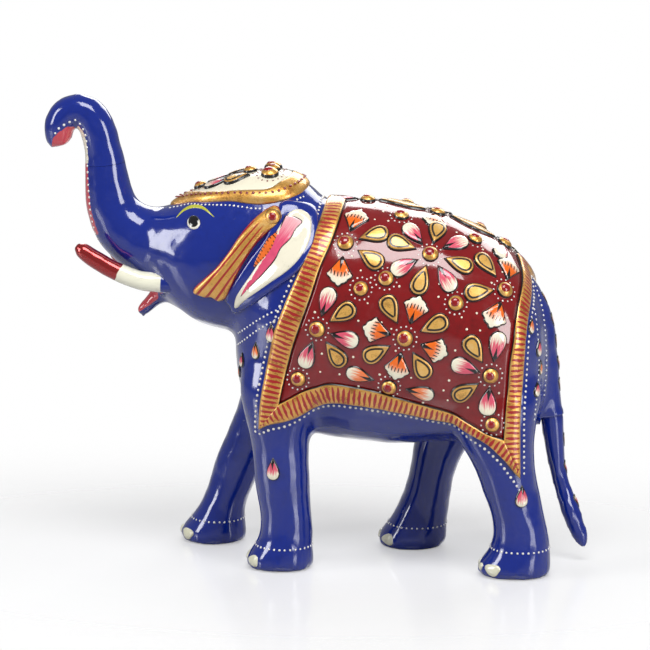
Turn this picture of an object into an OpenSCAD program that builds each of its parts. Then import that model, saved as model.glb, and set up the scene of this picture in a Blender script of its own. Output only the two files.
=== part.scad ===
// Painted wooden elephant with a raised trunk, saddle cloth and head cloth.
// Faces -X, stands on z = 0, left side at -Y. Millimetres.

/* [Body] */
// Overall width factor of torso and head
widthScale = 1; // [0.9:0.02:1.1]
// Points round one body section
bodySides = 30; // [20:2:40]
// Points round a leg, trunk or tail section
limbSides = 18; // [12:2:24]

/* [Cloths] */
// Height of the red cloth over the wood
clothThick = 0.9; // [0.6:0.1:1.5]
// Height of the gold borders over the wood
borderThick = 1.4; // [0.8:0.1:2]
// Width of the gold border band
borderWide = 4.6; // [3:0.2:7]

/* [Relief] */
// Length of a petal
petalLong = 9; // [6:0.5:12]
// Radius of a petal's round end
petalRound = 2.4; // [1.5:0.1:3]
// Height of a petal over the cloth
petalHigh = 0.7; // [0.3:0.1:1.2]
// Radius of a flower boss
bossRadius = 2.6; // [2:0.1:3.5]

/* [Joinery] */
// Diameter of the trunk dowel
trunkDowel = 4; // [3:0.5:5]
// Diameter of the tail dowel
tailDowel = 2.6; // [2:0.2:3.4]
// Diameter of a tusk tenon
tuskTenon = 4; // [3:0.5:5]
// Diameter of an ear pin
earPin = 3; // [2:0.5:4]

/* [View] */
// Which sub-part to draw

/* [Hidden] */
blue = [0.09, 0.12, 0.5];
cream = [0.93, 0.9, 0.8];
gold = [0.78, 0.58, 0.25];
red = [0.45, 0.03, 0.05];
pink = [0.88, 0.4, 0.5];
orange = [0.9, 0.45, 0.12];
wood = [0.72, 0.55, 0.36];

// torso sections: x, top z, bottom z, half width
torso = [[-26, 75, 68, 2.2], [-24.6, 91, 57, 12], [-21, 105, 50, 19], [-14, 113, 46, 24], [-4, 115.6, 42, 27],
    [8, 116, 39.5, 28.5], [22, 115.4, 38.5, 29.5], [34, 113.2, 38.5, 29.5], [45, 109.9, 39.5, 29],
    [54, 105.5, 39.5, 28.5], [62, 100, 40.5, 26.5], [67, 93.5, 43, 23.5], [70.6, 86.5, 48, 17.5],
    [73, 78, 56, 10.5], [74.2, 70, 65, 2]];
// head and neck sections: x, top z, bottom z, half width
head = [[4, 112, 84, 14], [0, 118.5, 80, 16.5], [-6, 122.3, 76.5, 18.5], [-14, 123.8, 73.5, 19.5],
    [-24, 122.6, 73.5, 19.5], [-31, 120, 74.3, 19.3], [-37, 117.6, 76, 18.6], [-42, 115.6, 78.8, 17],
    [-47, 113.8, 82.8, 14.6], [-52, 112.4, 87, 11.5], [-57.5, 111.5, 92, 8], [-61, 109, 97, 3.5]];
// legs: z, x, y, radius along x, radius along y
nearFront = [[0, -10.4, -15.5, 10.3, 9.4], [1.4, -10.4, -15.5, 10.8, 9.9], [5, -9.9, -15.5, 10.1, 9.7],
    [8, -8.7, -15.5, 8.8, 8.8], [11, -8.3, -15.5, 8.2, 8.3], [18, -8.6, -15.5, 8, 8.2],
    [28, -9.5, -15.5, 8.4, 8.5], [40, -10.2, -15.5, 8.9, 9], [48, -10.2, -15.5, 10.8, 10],
    [60, -8, -15, 14.5, 11], [80, -4, -12, 15, 9]];
farFront = [[0, -35.8, 15.5, 10.2, 9.4], [1.4, -35.8, 15.5, 10.7, 9.9], [4.5, -35.6, 15.5, 10.3, 9.6],
    [7.5, -34.3, 15.5, 8.8, 8.8], [12, -32.8, 15.5, 7.3, 7.7], [20, -29.6, 15.5, 7.3, 7.6],
    [28, -26.2, 15.5, 8, 8], [38, -22, 15.5, 8.4, 8.8], [46, -18.4, 15.5, 8.8, 9.8],
    [60, -11, 15, 12.5, 11], [76, -5, 12, 15, 9]];
nearHind = [[0, 64.3, -17, 11.2, 9.6], [1.4, 64.3, -17, 11.7, 10], [4.5, 64.7, -17, 11, 9.9],
    [8, 66, -17, 9.5, 9.2], [13, 66.4, -17, 8.4, 8.5], [19, 65.4, -17, 8.2, 8.4],
    [26, 63.5, -17, 8.8, 8.8], [34, 61.2, -17, 9.4, 9.5], [42, 59.2, -16.8, 11.3, 10.2],
    [49, 57.6, -16.2, 13.2, 10.8], [60, 56, -15.2, 16, 11], [74, 54, -12, 15, 9]];
farHind = [[0, 29, 15.5, 10.6, 9.6], [1.4, 29, 15.5, 11.1, 10], [4.5, 29.8, 15.5, 10.6, 9.8],
    [8.5, 31.4, 15.5, 8.9, 9], [12.5, 32.5, 15.5, 8.1, 8.2], [18, 34, 15.5, 7.6, 7.9],
    [25, 36, 15.5, 7.4, 8], [30, 37.4, 15.8, 7.9, 8.4], [36, 39.4, 16, 9.2, 9],
    [46, 43, 16.2, 12, 10.2], [60, 47, 15.6, 15.5, 11], [74, 50, 12, 15, 9]];
// trunk, tail and tusk centre lines: x, z, radius in the plane, radius across
trunkLow = [[-44, 97.5, 13, 12.5], [-51, 100, 12.2, 11.6], [-57.3, 103, 10.8, 10], [-62.6, 107, 9.6, 9],
    [-65.8, 112.8, 8.3, 7.9], [-67, 119.5, 7.4, 7.2], [-67.9, 126.5, 6.5, 6.6]];
trunkHigh = [[-67.9, 126.5, 6.5, 6.6], [-68.7, 132, 6, 6.2], [-69.9, 137.6, 5.7, 5.9], [-72.8, 142.3, 5.5, 5.7],
    [-77, 143.8, 5.2, 5.5], [-80.9, 141.8, 5, 5.3], [-82.6, 137.8, 4.8, 5.1], [-82.6, 134.2, 4.4, 4.8],
    [-82.2, 131.6, 3.6, 4]];
tailRoot = [[60, 95, 3, 3.4], [65.4, 90.4, 3.8, 4.2], [69, 84, 4.2, 4.6], [71.4, 75, 4.4, 4.6],
    [72.8, 64, 4.2, 4.3], [74.1, 52, 3.9, 4], [74.7, 48, 3.7, 3.9]];
tailPath = [[74.7, 48, 3.7, 3.9], [75.2, 44, 3.6, 3.8], [76.2, 36, 3.3, 3.5], [77.1, 30, 3.2, 3.3],
    [78.8, 24, 3.1, 3.2], [80.7, 18, 3.3, 3.3], [82.8, 12, 3.2, 3.2], [85.2, 7, 2.8, 2.8],
    [86.6, 4.8, 1.6, 1.6]];
tuskPath = [[-49, 90.4, 2.9, 2.9], [-57, 91.8, 2.75, 2.75], [-64.5, 94.4, 2.65, 2.65], [-71, 98, 2.55, 2.55],
    [-74.6, 100.4, 2.2, 2.2], [-75.8, 101.3, 1.4, 1.4]];
farTuskPath = [[-49, 90.4, 2.9, 2.9], [-56, 91.4, 2.75, 2.75], [-62, 93.2, 2.6, 2.6], [-66, 95, 2.2, 2.2],
    [-67.4, 95.6, 1.4, 1.4]];
lip = [[-38, 86, 7, 8], [-44, 85.4, 5.2, 6.4], [-49.5, 84.8, 3, 4.4], [-53.6, 81.8, 2.3, 3.2],
    [-57.2, 78, 1.7, 2.2]];

// Catmull-Rom value between b and c at t
function curve(a, b, c, d, t) = 0.5 * ((2 * b) + (c - a) * t + (2 * a - 5 * b + 4 * c - d) * t * t
    + (3 * b - a - 3 * c + d) * t * t * t);
// a list of stations filled in with k steps in each gap
function smooth(s, k) = [for (i = [0:len(s) - 2]) for (j = [0:k - 1])
    curve(s[max(i - 1, 0)], s[i], s[i + 1], s[min(i + 2, len(s) - 1)], j / k), s[len(s) - 1]];
function power(v, e) = sign(v) * pow(abs(v), e);
// one upright section across the body, grown by g
function section(r, g, sides) = let (h = (r[1] - r[2]) / 2 + g, w = r[3] * widthScale + g)
    [for (i = [0:sides - 1]) let (a = 360 * i / sides)
        [r[0], w * power(sin(a), 0.88), (r[1] + r[2]) / 2 + h * power(cos(a), 0.92)]];
// one level section through a leg, grown by g
function slice(r, g, sides) = [for (i = [0:sides - 1]) let (a = 360 * i / sides)
    [r[1] + (r[3] + g) * cos(a), r[2] + (r[4] + g) * sin(a), r[0]]];
// sections square to a centre line in an upright plane
function tube(p, y, sides) = [for (i = [0:len(p) - 1])
    let (a = p[max(i - 1, 0)], b = p[min(i + 1, len(p) - 1)],
        d = [b[0] - a[0], b[1] - a[1]] / norm([b[0] - a[0], b[1] - a[1]]))
    [for (j = [0:sides - 1]) let (w = 360 * j / sides)
        [p[i][0] - d[1] * p[i][2] * cos(w), y + p[i][3] * sin(w), p[i][1] + d[0] * p[i][2] * cos(w)]]];
// joins a list of rings into a closed skin
module skin(rings) {
    n = len(rings[0]);
    m = len(rings);
    polyhedron(points = [for (r = rings) each r], faces = [
        [for (j = [n - 1:-1:0]) j],
        for (i = [0:m - 2]) for (j = [0:n - 1]) let (k = (j + 1) % n)
            each [[i * n + j, i * n + k, (i + 1) * n + k], [i * n + j, (i + 1) * n + k, (i + 1) * n + j]],
        [for (j = [0:n - 1]) (m - 1) * n + j]]);
}
module torsoSkin(g = 0) skin([for (r = smooth(torso, 3)) section(r, g, bodySides)]);
module headSkin(g = 0) mirror([1, 0, 0]) skin([for (r = smooth(head, 3))
    section([-r[0], r[1], r[2], r[3]], g, bodySides)]);
module legSkin(s, g = 0) mirror([0, 0, 1]) skin([for (r = smooth(s, 2)) slice([-r[0], r[1], r[2], r[3], r[4]],
    g, limbSides)]);
module tubeSkin(p, y = 0, k = 3) skin(tube(smooth(p, k), y, limbSides));
// everything the saddle cloth lies on, grown by g
module flanks(g = 0) {
    torsoSkin(g);
    for (s = [nearFront, farFront, nearHind, farHind]) legSkin([for (r = s) if (r[0] > 25) r], g);
}

// the torso's implicit surface, for setting relief on it
sections = smooth(torso, 4);
function at(x) = let (i = [for (j = [0:len(sections) - 2]) if (sections[j + 1][0] >= x) j][0],
    t = (x - sections[i][0]) / (sections[i + 1][0] - sections[i][0])) sections[i] * (1 - t) + sections[i + 1] * t;
function level(x, y, z) = let (s = at(x)) pow(abs(y / s[3] / widthScale), 2.2)
    + pow(abs((2 * z - s[1] - s[2]) / (s[1] - s[2])), 2.2);
function sideY(x, z) = let (s = at(x))
    -s[3] * widthScale * pow(max(0, 1 - pow(abs((2 * z - s[1] - s[2]) / (s[1] - s[2])), 2.2)), 1 / 2.2);
function outward(x, y, z) = let (e = 0.2, g = [level(x + e, y, z) - level(x - e, y, z),
    level(x, y + e, z) - level(x, y - e, z), level(x, y, z + e) - level(x, y, z - e)]) g / norm(g);
// sets children on the left flank at x, z, turned to angle a in the side view
module onFlank(x, z, a = 0, lift = 0) {
    y = sideY(x, z);
    n = outward(x, y, z);
    u0 = [cos(a), 0, sin(a)] - n * (n * [cos(a), 0, sin(a)]);
    u = u0 / norm(u0);
    v = cross(n, u);
    p = [x, y, z] + n * lift;
    multmatrix([[u[0], v[0], n[0], p[0]], [u[1], v[1], n[1], p[1]], [u[2], v[2], n[2], p[2]]]) children();
}
// sets children on the back at x and side offset y
module onBack(x, y, a = 0, lift = 0) {
    s = at(x);
    z = (s[1] + s[2]) / 2 + (s[1] - s[2]) / 2 * pow(1 - pow(abs(y) / s[3] / widthScale, 2.2), 1 / 2.2);
    n = outward(x, y, z);
    u0 = [cos(a), sin(a), 0] - n * (n * [cos(a), sin(a), 0]);
    u = u0 / norm(u0);
    v = cross(n, u);
    p = [x, y, z] + n * lift;
    multmatrix([[u[0], v[0], n[0], p[0]], [u[1], v[1], n[1], p[1]], [u[2], v[2], n[2], p[2]]]) children();
}
module bothSides() {
    children();
    mirror([0, 1, 0]) children();
}
// a drop lying on the plane: point at the near end, round end away
module petal(near = 3, long = petalLong, r = petalRound) {
    translate([near, 0, 0]) linear_extrude(petalHigh + 0.6) union() {
        translate([long - r, 0]) circle(r);
        polygon([[0, 0], [long - r - r * r / long, -r * 0.97], [long - r - r * r / long, r * 0.97]]);
    }
}
// flowers on the flank: x, z, then petal angles for gold, pink and orange
flowers = [
    [12, 107, [20, -20], [], [75, -100]],
    [39, 104, [160, 80, -15, 250], [115, 30, -55, 210], []],
    [3.5, 81, [35, 305], [65, -10, 255], []],
    [32, 79, [118, 22, -58, 205], [], [70, -20, -108, 165]],
    [63, 94, [130, 182], [], [70, -108]],
    [59.5, 67, [115, 213], [78, 158, 266], []]];
lone = [[18, 95], [26, 98], [48, 91], [-1, 65], [27, 62.5], [59, 52], [51.5, 105], [28, 112]];
// flowers along the back: x, then petal angles seen from above
ridge = [[14, [0], [180]], [39, [180, 0], []], [62, [180], [90, 270]]];
module petals(kind) {
    bothSides() for (f = flowers) for (a = f[2 + kind]) onFlank(f[0], f[1], a, clothThick - 0.5) petal();
    if (kind < 2) for (f = ridge) for (a = f[1 + kind]) onBack(f[0], 0, a, clothThick - 0.5) petal(3, 7, 2.2);
}
module eachBoss() {
    bothSides() {
        for (f = flowers) onFlank(f[0], f[1], 0, clothThick - 0.5) children();
        for (f = lone) onFlank(f[0], f[1], 0, clothThick - 0.5) children();
    }
    for (f = ridge) onBack(f[0], 0, 0, clothThick - 0.5) children();
}
// side outline of the saddle cloth, drawn in by d
module saddleOutline(d = 0) {
    offset(delta = -d) polygon([[4, 125], [2.5, 108], [-1, 98.5], [-4.3, 89], [-7.7, 79], [-10.3, 73], [-13, 63],
        [-15, 49.3], [-4.5, 52], [0.5, 55.5], [5, 57.5], [10.5, 58], [16, 57], [27, 54.5], [40, 52], [50.5, 48.5],
        [58.5, 43.5], [63.5, 39.5], [66.5, 37], [67, 40], [66, 46], [66, 52.5], [67, 60], [67, 80],
        [67.5, 86], [68, 94], [68, 125]]);
}
module through(w = 40) rotate([90, 0, 0]) translate([0, 0, -w]) linear_extrude(2 * w) children();
// side outline of the head cloth, drawn in by d
module headOutline(d = 0) {
    offset(delta = -d) polygon([[-46, 140], [-46.5, 112], [-40, 113], [-30, 114], [-18, 115.5], [-6, 118], [0, 121],
        [2, 140]]);
}
module toEar() translate([-12, -17.5, 112]) rotate([0, 0, -2]) rotate([76, 0, 0]) children();
// ear outlines, in the ear's own plane, with the boss at the origin
module earShape() polygon([[-3, 5], [4, 5], [11, 5.5], [15, 2], [13, -6], [6, -17], [-3, -25], [-12, -29],
    [-16, -27], [-25, -23], [-26, -20], [-12, -4]]);
module panelShape() polygon([[5, 2], [10, 3.5], [13, 0.5], [10.5, -7], [4, -16.5], [-3.5, -23], [-10, -26.5],
    [-7, -19], [0, -7]]);
module fanShape() polygon([[-3, 3.4], [3, 3.4], [3.5, -1], [-4, -11], [-13, -25], [-17, -25.4], [-24.2, -21.6],
    [-24.6, -20], [-11, -3]]);
module earPinPair() toEar() for (p = [[1, -6], [-9, -18]]) translate([p[0], p[1], -10])
    cylinder(d = earPin, h = 7.6, $fn = 40);
trunkTilt = -5;
footNails = [[-10.2, -15.5, 10.6, 9.8, [170, 218]], [-35.8, 15.5, 10.5, 9.8, [220, 172]],
    [64.4, -17, 11.4, 9.9, [170, 202, 232]], [29.3, 15.5, 10.9, 9.8, [224, 176]]];

module body_block() color(blue) difference() {
    resize([0, 0, 0]) union() {
        torsoSkin();
        headSkin();
        for (s = [nearFront, farFront, nearHind, farHind]) legSkin(s);
        tubeSkin(trunkLow);
        tubeSkin(tailRoot);
        // lower lip
        skin(tube(smooth(lip, 3), 0, limbSides));
    }
    translate([-67.9, 0, 126.5]) rotate([0, trunkTilt, 0]) translate([0, 0, -7])
        cylinder(d = trunkDowel, h = 14, $fn = 40);
    translate([74.7, 0, 48]) rotate([0, 174, 0]) translate([0, 0, -6]) cylinder(d = tailDowel, h = 12, $fn = 40);
    for (s = [-1, 1]) translate([-49.5, s * 10.5, 90.5]) rotate([0, 82, 0]) translate([0, 0, -4])
        cylinder(d = tuskTenon, h = 12, $fn = 40);
    bothSides() earPinPair();
}
module trunk_upper() color(blue) difference() {
    tubeSkin(trunkHigh);
    translate([-67.9, 0, 126.5]) rotate([0, trunkTilt, 0]) translate([0, 0, -7])
        cylinder(d = trunkDowel, h = 14, $fn = 40);
}
module trunk_dowel() color(wood) translate([-67.9, 0, 126.5]) rotate([0, trunkTilt, 0]) translate([0, 0, -7])
    cylinder(d = trunkDowel, h = 14, $fn = 40);
module tail() color(blue) difference() {
    tubeSkin(tailPath);
    translate([74.7, 0, 48]) rotate([0, 174, 0]) translate([0, 0, -6]) cylinder(d = tailDowel, h = 12, $fn = 40);
}
module tail_dowel() color(wood) translate([74.7, 0, 48]) rotate([0, 174, 0]) translate([0, 0, -6])
    cylinder(d = tailDowel, h = 12, $fn = 40);
module tusk(y, path) {
    tubeSkin(path, y);
    translate([-49.5, y, 90.5]) rotate([0, 82, 0]) translate([0, 0, -4])
        cylinder(d = tuskTenon, h = 12, $fn = 40);
}
module tusk_left() color(cream) tusk(-10.5, tuskPath);
module tusk_right() color(cream) tusk(10.5, farTuskPath);
module ear() difference() {
    toEar() difference() {
        translate([0, 0, -4]) linear_extrude(6) earShape();
        translate([0, 0, 0.6]) linear_extrude(3) panelShape();
        translate([0, 0, 0.6]) linear_extrude(3) fanShape();
    }
    earPinPair();
}
module ear_left() color(blue) ear();
module ear_right() color(blue) mirror([0, 1, 0]) ear();
module earPanel() toEar() translate([0, 0, 0.6]) linear_extrude(1) panelShape();
module ear_panel_left() color(cream) earPanel();
module ear_panel_right() color(cream) mirror([0, 1, 0]) earPanel();
module earFan() toEar() {
    translate([0, 0, 0.6]) linear_extrude(1.8) fanShape();
    // the boss over the top of the fan
    translate([0, 0, 1]) cylinder(r1 = 2.9, r2 = 2.2, h = 2.2, $fn = 40);
}
module ear_fan_left() color(gold) earFan();
module ear_fan_right() color(gold) mirror([0, 1, 0]) earFan();
module ear_pins() color(wood) bothSides() earPinPair();
module eyes() color(cream) bothSides() translate([-37.6, -14.9, 111.5]) sphere(r = 2.5, $fn = 40);
module toenails() color(cream) for (f = footNails) for (a = f[4])
    translate([f[0] + (f[2] - 1.2) * cos(a), f[1] + (f[3] - 1.2) * sin(a), 2.6]) sphere(r = 2.2, $fn = 40);
module head_cloth() color(cream) resize([0, 0, 0]) intersection() {
    difference() {
        headSkin(clothThick);
        headSkin();
    }
    through() headOutline(3);
}
module head_rim() color(gold) resize([0, 0, 0]) intersection() {
    difference() {
        headSkin(borderThick);
        headSkin();
    }
    through() difference() {
        headOutline();
        headOutline(3);
    }
}
module saddle_cloth() color(red) resize([0, 0, 0]) intersection() {
    difference() {
        union() flanks(clothThick);
        union() flanks();
    }
    through() saddleOutline(borderWide);
}
module saddle_border() color(gold) resize([0, 0, 0]) intersection() {
    difference() {
        union() flanks(borderThick);
        union() flanks();
    }
    through() difference() {
        saddleOutline();
        saddleOutline(borderWide);
    }
}
module petals_gold() color(gold) petals(0);
module petals_pink() color(pink) petals(1);
module petals_orange() color(orange) bothSides() {
    for (f = flowers) for (a = f[4]) onFlank(f[0], f[1], a, clothThick - 0.5) petal(3, 8, 2.6);
    onFlank(18, 66, 170, clothThick - 0.5) petal(-4, 8, 2.4);
    onFlank(37, 60, 165, clothThick - 0.5) petal(-4, 8, 2.4);
}
module bosses() color(gold) eachBoss() cylinder(r1 = bossRadius, r2 = bossRadius - 0.8, h = 1.5, $fn = 40);
module stones() color(red) eachBoss() translate([0, 0, 1.5]) cylinder(r1 = 1.2, r2 = 0.8, h = 0.5, $fn = 30);

body_block();
trunk_upper();
trunk_dowel();
tail();
tail_dowel();
tusk_left();
tusk_right();
ear_left();
ear_right();
ear_panel_left();
ear_panel_right();
ear_fan_left();
ear_fan_right();
ear_pins();
eyes();
toenails();
head_cloth();
head_rim();
saddle_cloth();
saddle_border();
petals_gold();
petals_pink();
petals_orange();
bosses();
stones();
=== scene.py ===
import math
import random

import bmesh
import bpy
import numpy as np
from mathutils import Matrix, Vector, geometry, noise
from mathutils.bvhtree import BVHTree


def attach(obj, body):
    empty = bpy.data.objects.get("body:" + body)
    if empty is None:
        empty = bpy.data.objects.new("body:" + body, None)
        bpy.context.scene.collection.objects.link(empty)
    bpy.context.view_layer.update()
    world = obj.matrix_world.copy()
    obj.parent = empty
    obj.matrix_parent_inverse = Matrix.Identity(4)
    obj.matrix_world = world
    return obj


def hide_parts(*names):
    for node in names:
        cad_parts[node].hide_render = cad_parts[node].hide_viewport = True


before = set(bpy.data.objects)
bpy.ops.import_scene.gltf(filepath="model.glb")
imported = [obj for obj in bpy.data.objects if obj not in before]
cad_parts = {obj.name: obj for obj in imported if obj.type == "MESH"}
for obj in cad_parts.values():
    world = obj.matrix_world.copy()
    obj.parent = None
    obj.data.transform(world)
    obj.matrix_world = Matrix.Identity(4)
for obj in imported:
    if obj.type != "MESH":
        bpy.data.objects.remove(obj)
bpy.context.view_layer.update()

mm = 0.001  # every table below is in millimetres
scene = bpy.context.scene
near, far = -1, 1  # the two sides, by the sign of y


def catmull(stations, steps):
    s = np.array(stations, float)
    out = []
    for i in range(len(s) - 1):
        a, b, c, d = s[max(i - 1, 0)], s[i], s[i + 1], s[min(i + 2, len(s) - 1)]
        for j in range(steps):
            t = j / steps
            out.append(0.5 * (2 * b + (c - a) * t + (2 * a - 5 * b + 4 * c - d) * t * t
                              + (3 * b - a - 3 * c + d) * t ** 3))
    out.append(s[-1])
    return np.array(out)


def spread(points, count, weights=None):
    p = np.array(points, float)
    w = np.ones(p.shape[1]) if weights is None else np.array(weights)
    length = np.r_[0, np.cumsum(np.linalg.norm(np.diff(p, axis=0) * w, axis=1))]
    at = np.linspace(0, length[-1], count)
    return np.stack([np.interp(at, length, p[:, k]) for k in range(p.shape[1])], 1)


def power(v, e):
    return math.copysign(abs(v) ** e, v)


def addSkin(bm, rings):
    rows = [[bm.verts.new(p) for p in ring] for ring in rings]
    n = len(rows[0])
    for a, b in zip(rows, rows[1:]):
        for j in range(n):
            bm.faces.new((a[j], a[(j + 1) % n], b[(j + 1) % n], b[j]))
    bm.faces.new(rows[0][::-1])
    bm.faces.new(rows[-1])


def uprightRings(stations, sides=40, steps=4, lean=0.9):
    rings = []
    for x, top, low, wide in catmull(stations, steps):
        ring = []
        for j in range(sides):
            a = 2 * math.pi * j / sides
            ring.append((x, wide * power(math.sin(a), lean),
                         (top + low) / 2 + (top - low) / 2 * power(math.cos(a), lean + 0.03)))
        rings.append(ring)
    return rings


def levelRings(stations, sides=32, steps=4):
    rings = []
    for z, x, y, rx, ry in catmull(stations, steps):
        turns = [2 * math.pi * j / sides for j in range(sides)]
        rings.append([(x + (rx + 0.3) * math.cos(a), y + (ry + 0.3) * math.sin(a), z) for a in turns])
    return rings


def tubeRings(stations, y=0, sides=28, steps=5):
    p = catmull(stations, steps)
    rings = []
    for i, (x, z, r, w) in enumerate(p):
        a, b = p[max(i - 1, 0)], p[min(i + 1, len(p) - 1)]
        d = np.array([b[0] - a[0], b[1] - a[1]])
        d /= np.linalg.norm(d)
        rings.append([(x - d[1] * r * math.cos(t), y + w * math.sin(t), z + d[0] * r * math.cos(t))
                      for t in [2 * math.pi * j / sides for j in range(sides)]])
    return rings


body = {
    # x, top, bottom, half width
    "torso": [[-26, 75, 68, 2.2], [-24.6, 91, 57, 12], [-21, 105, 50, 19], [-14, 113, 46, 24], [-4, 115.6, 42, 27],
              [8, 116, 39.5, 28.5], [22, 115.4, 38.5, 29.5], [34, 113.2, 38.5, 29.5], [45, 109.9, 39.5, 29],
              [54, 105.5, 39.5, 28.5], [62, 100, 40.5, 26.5], [67, 93.5, 43, 23.5], [70.6, 86.5, 48, 17.5],
              [73, 78, 56, 10.5], [74.2, 70, 65, 2]],
    "head": [[4, 112, 84, 14], [0, 118.5, 80, 16.5], [-6, 122.3, 76.5, 18.5], [-14, 123.8, 73.5, 19.5],
             [-24, 122.6, 73.5, 19.5], [-31, 120, 74.3, 19.3], [-37, 117.6, 76, 18.6], [-42, 115.6, 78.8, 17],
             [-47, 113.8, 82.8, 14.6], [-52, 112.4, 87, 11.5], [-57.5, 111.5, 92, 8], [-61, 109, 97, 3.5]],
    # z, x, y, radius along x, radius along y
    "legs": [
        [[0, -10.4, -15.5, 10.3, 9.4], [1.4, -10.4, -15.5, 10.8, 9.9], [5, -9.9, -15.5, 10.1, 9.7],
         [8, -8.7, -15.5, 8.8, 8.8], [11, -8.3, -15.5, 8.2, 8.3], [18, -8.6, -15.5, 8, 8.2],
         [28, -9.5, -15.5, 8.4, 8.5], [40, -10.2, -15.5, 8.9, 9], [48, -10.2, -15.5, 10.8, 10],
         [60, -8, -15, 14.5, 11], [80, -4, -12, 15, 9]],
        [[0, -35.8, 15.5, 10.2, 9.4], [1.4, -35.8, 15.5, 10.7, 9.9], [4.5, -35.6, 15.5, 10.3, 9.6],
         [7.5, -34.3, 15.5, 8.8, 8.8], [12, -32.8, 15.5, 7.3, 7.7], [20, -29.6, 15.5, 7.3, 7.6],
         [28, -26.2, 15.5, 8, 8], [38, -22, 15.5, 8.4, 8.8], [46, -18.4, 15.5, 8.8, 9.8], [60, -11, 15, 12.5, 11],
         [76, -5, 12, 15, 9]],
        [[0, 64.3, -17, 11.2, 9.6], [1.4, 64.3, -17, 11.7, 10], [4.5, 64.7, -17, 11, 9.9], [8, 66, -17, 9.5, 9.2],
         [13, 66.4, -17, 8.4, 8.5], [19, 65.4, -17, 8.2, 8.4], [26, 63.5, -17, 8.8, 8.8], [34, 61.2, -17, 9.4, 9.5],
         [42, 59.2, -16.8, 11.3, 10.2], [49, 57.6, -16.2, 13.2, 10.8], [60, 56, -15.2, 16, 11],
         [74, 54, -12, 15, 9]],
        [[0, 29, 15.5, 10.6, 9.6], [1.4, 29, 15.5, 11.1, 10], [4.5, 29.8, 15.5, 10.6, 9.8],
         [8.5, 31.4, 15.5, 8.9, 9], [12.5, 32.5, 15.5, 8.1, 8.2], [18, 34, 15.5, 7.6, 7.9],
         [25, 36, 15.5, 7.4, 8], [30, 37.4, 15.8, 7.9, 8.4],
         [36, 39.4, 16, 9.2, 9], [46, 43, 16.2, 12, 10.2], [60, 47, 15.6, 15.5, 11], [74, 50, 12, 15, 9]]],
    # x, z, radius in the plane, radius across
    "trunk": [[-44, 97.5, 13, 12.5], [-51, 100, 12.2, 11.6], [-57.3, 103, 10.8, 10], [-62.6, 107, 9.6, 9],
              [-65.8, 112.8, 8.3, 7.9], [-67, 119.5, 7.4, 7.2], [-67.9, 126.5, 6.5, 6.6], [-68.7, 132, 6, 6.2],
              [-69.9, 137.6, 5.7, 5.9], [-72.8, 142.3, 5.5, 5.7], [-77, 143.8, 5.2, 5.5], [-80.9, 141.8, 5, 5.3],
              [-82.6, 137.8, 4.8, 5.1], [-82.6, 134.2, 4.4, 4.8], [-82.2, 131.6, 3.6, 4]],
    "tail": [[60, 95, 3, 3.4], [65.4, 90.4, 3.8, 4.2], [69, 84, 4.2, 4.6], [71.4, 75, 4.4, 4.6],
             [72.8, 64, 4.2, 4.3], [74.1, 52, 4, 4.1], [74.7, 48.4, 4.2, 4.3], [75.1, 45, 4.2, 4.3]],
    "tailLow": [[74.1, 52, 3.9, 4], [75.2, 44, 3.6, 3.8], [76.2, 36, 3.3, 3.5], [77.1, 30, 3.2, 3.3],
             [78.8, 24, 3.1, 3.2], [80.7, 18, 3.3, 3.3], [82.8, 12, 3.2, 3.2], [85.2, 7, 2.8, 2.8],
             [86.6, 4.8, 1.6, 1.6]],
    "lip": [[-38, 86, 7, 8], [-44, 85.4, 5.2, 6.4], [-49.5, 84.8, 3, 4.4], [-53.6, 81.8, 2.6, 3.4],
            [-57.4, 78, 2, 2.5]],
    "voxel": 1.6,
    "smoothing": 8,
    "lump": 0.4,  # height of the slow waves left by the knife
    "lumpSize": 12,
    "dent": 0.14,
    "dentSize": 5,
}


def evaluatedMesh(o):
    deps = bpy.context.evaluated_depsgraph_get()
    return bpy.data.meshes.new_from_object(o.evaluated_get(deps))


def newObject(name, mesh):
    o = bpy.data.objects.new(name, mesh)
    scene.collection.objects.link(o)
    return o


def fuse(skins):
    bm = bmesh.new()
    for rings in skins:
        addSkin(bm, rings)
    bmesh.ops.recalc_face_normals(bm, faces=bm.faces)
    mesh = bpy.data.meshes.new("bodyRough")
    bm.to_mesh(mesh)
    bm.free()
    o = newObject("bodyRough", mesh)
    m = o.modifiers.new("fuse", "REMESH")
    m.mode = "VOXEL"
    m.voxel_size = body["voxel"]
    m = o.modifiers.new("soften", "SMOOTH")
    m.factor = 0.5
    m.iterations = body["smoothing"]
    m = o.modifiers.new("refine", "SUBSURF")
    m.levels = m.render_levels = 1
    fused = evaluatedMesh(o)
    bpy.data.objects.remove(o)
    count = len(fused.vertices)
    spots, normals = np.empty(count * 3), np.empty(count * 3)
    fused.vertices.foreach_get("co", spots)
    fused.vertices.foreach_get("normal", normals)
    spots, normals = spots.reshape(-1, 3), normals.reshape(-1, 3)
    waves = np.empty(count)
    for i, p in enumerate(spots):  # hand carving is never quite even
        lump = body["lump"] * noise.noise(Vector(p) / body["lumpSize"])
        dent = body["dent"] * noise.noise(Vector(p) / body["dentSize"] + Vector((7, 3, 1)))
        waves[i] = (lump + dent) * min(1, p[2] / 8)
    spots = spots + normals * waves[:, None]
    spots[:, 2] = np.maximum(spots[:, 2], 0)
    fused.vertices.foreach_set("co", spots.ravel())
    fused.update()
    return fused


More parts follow.
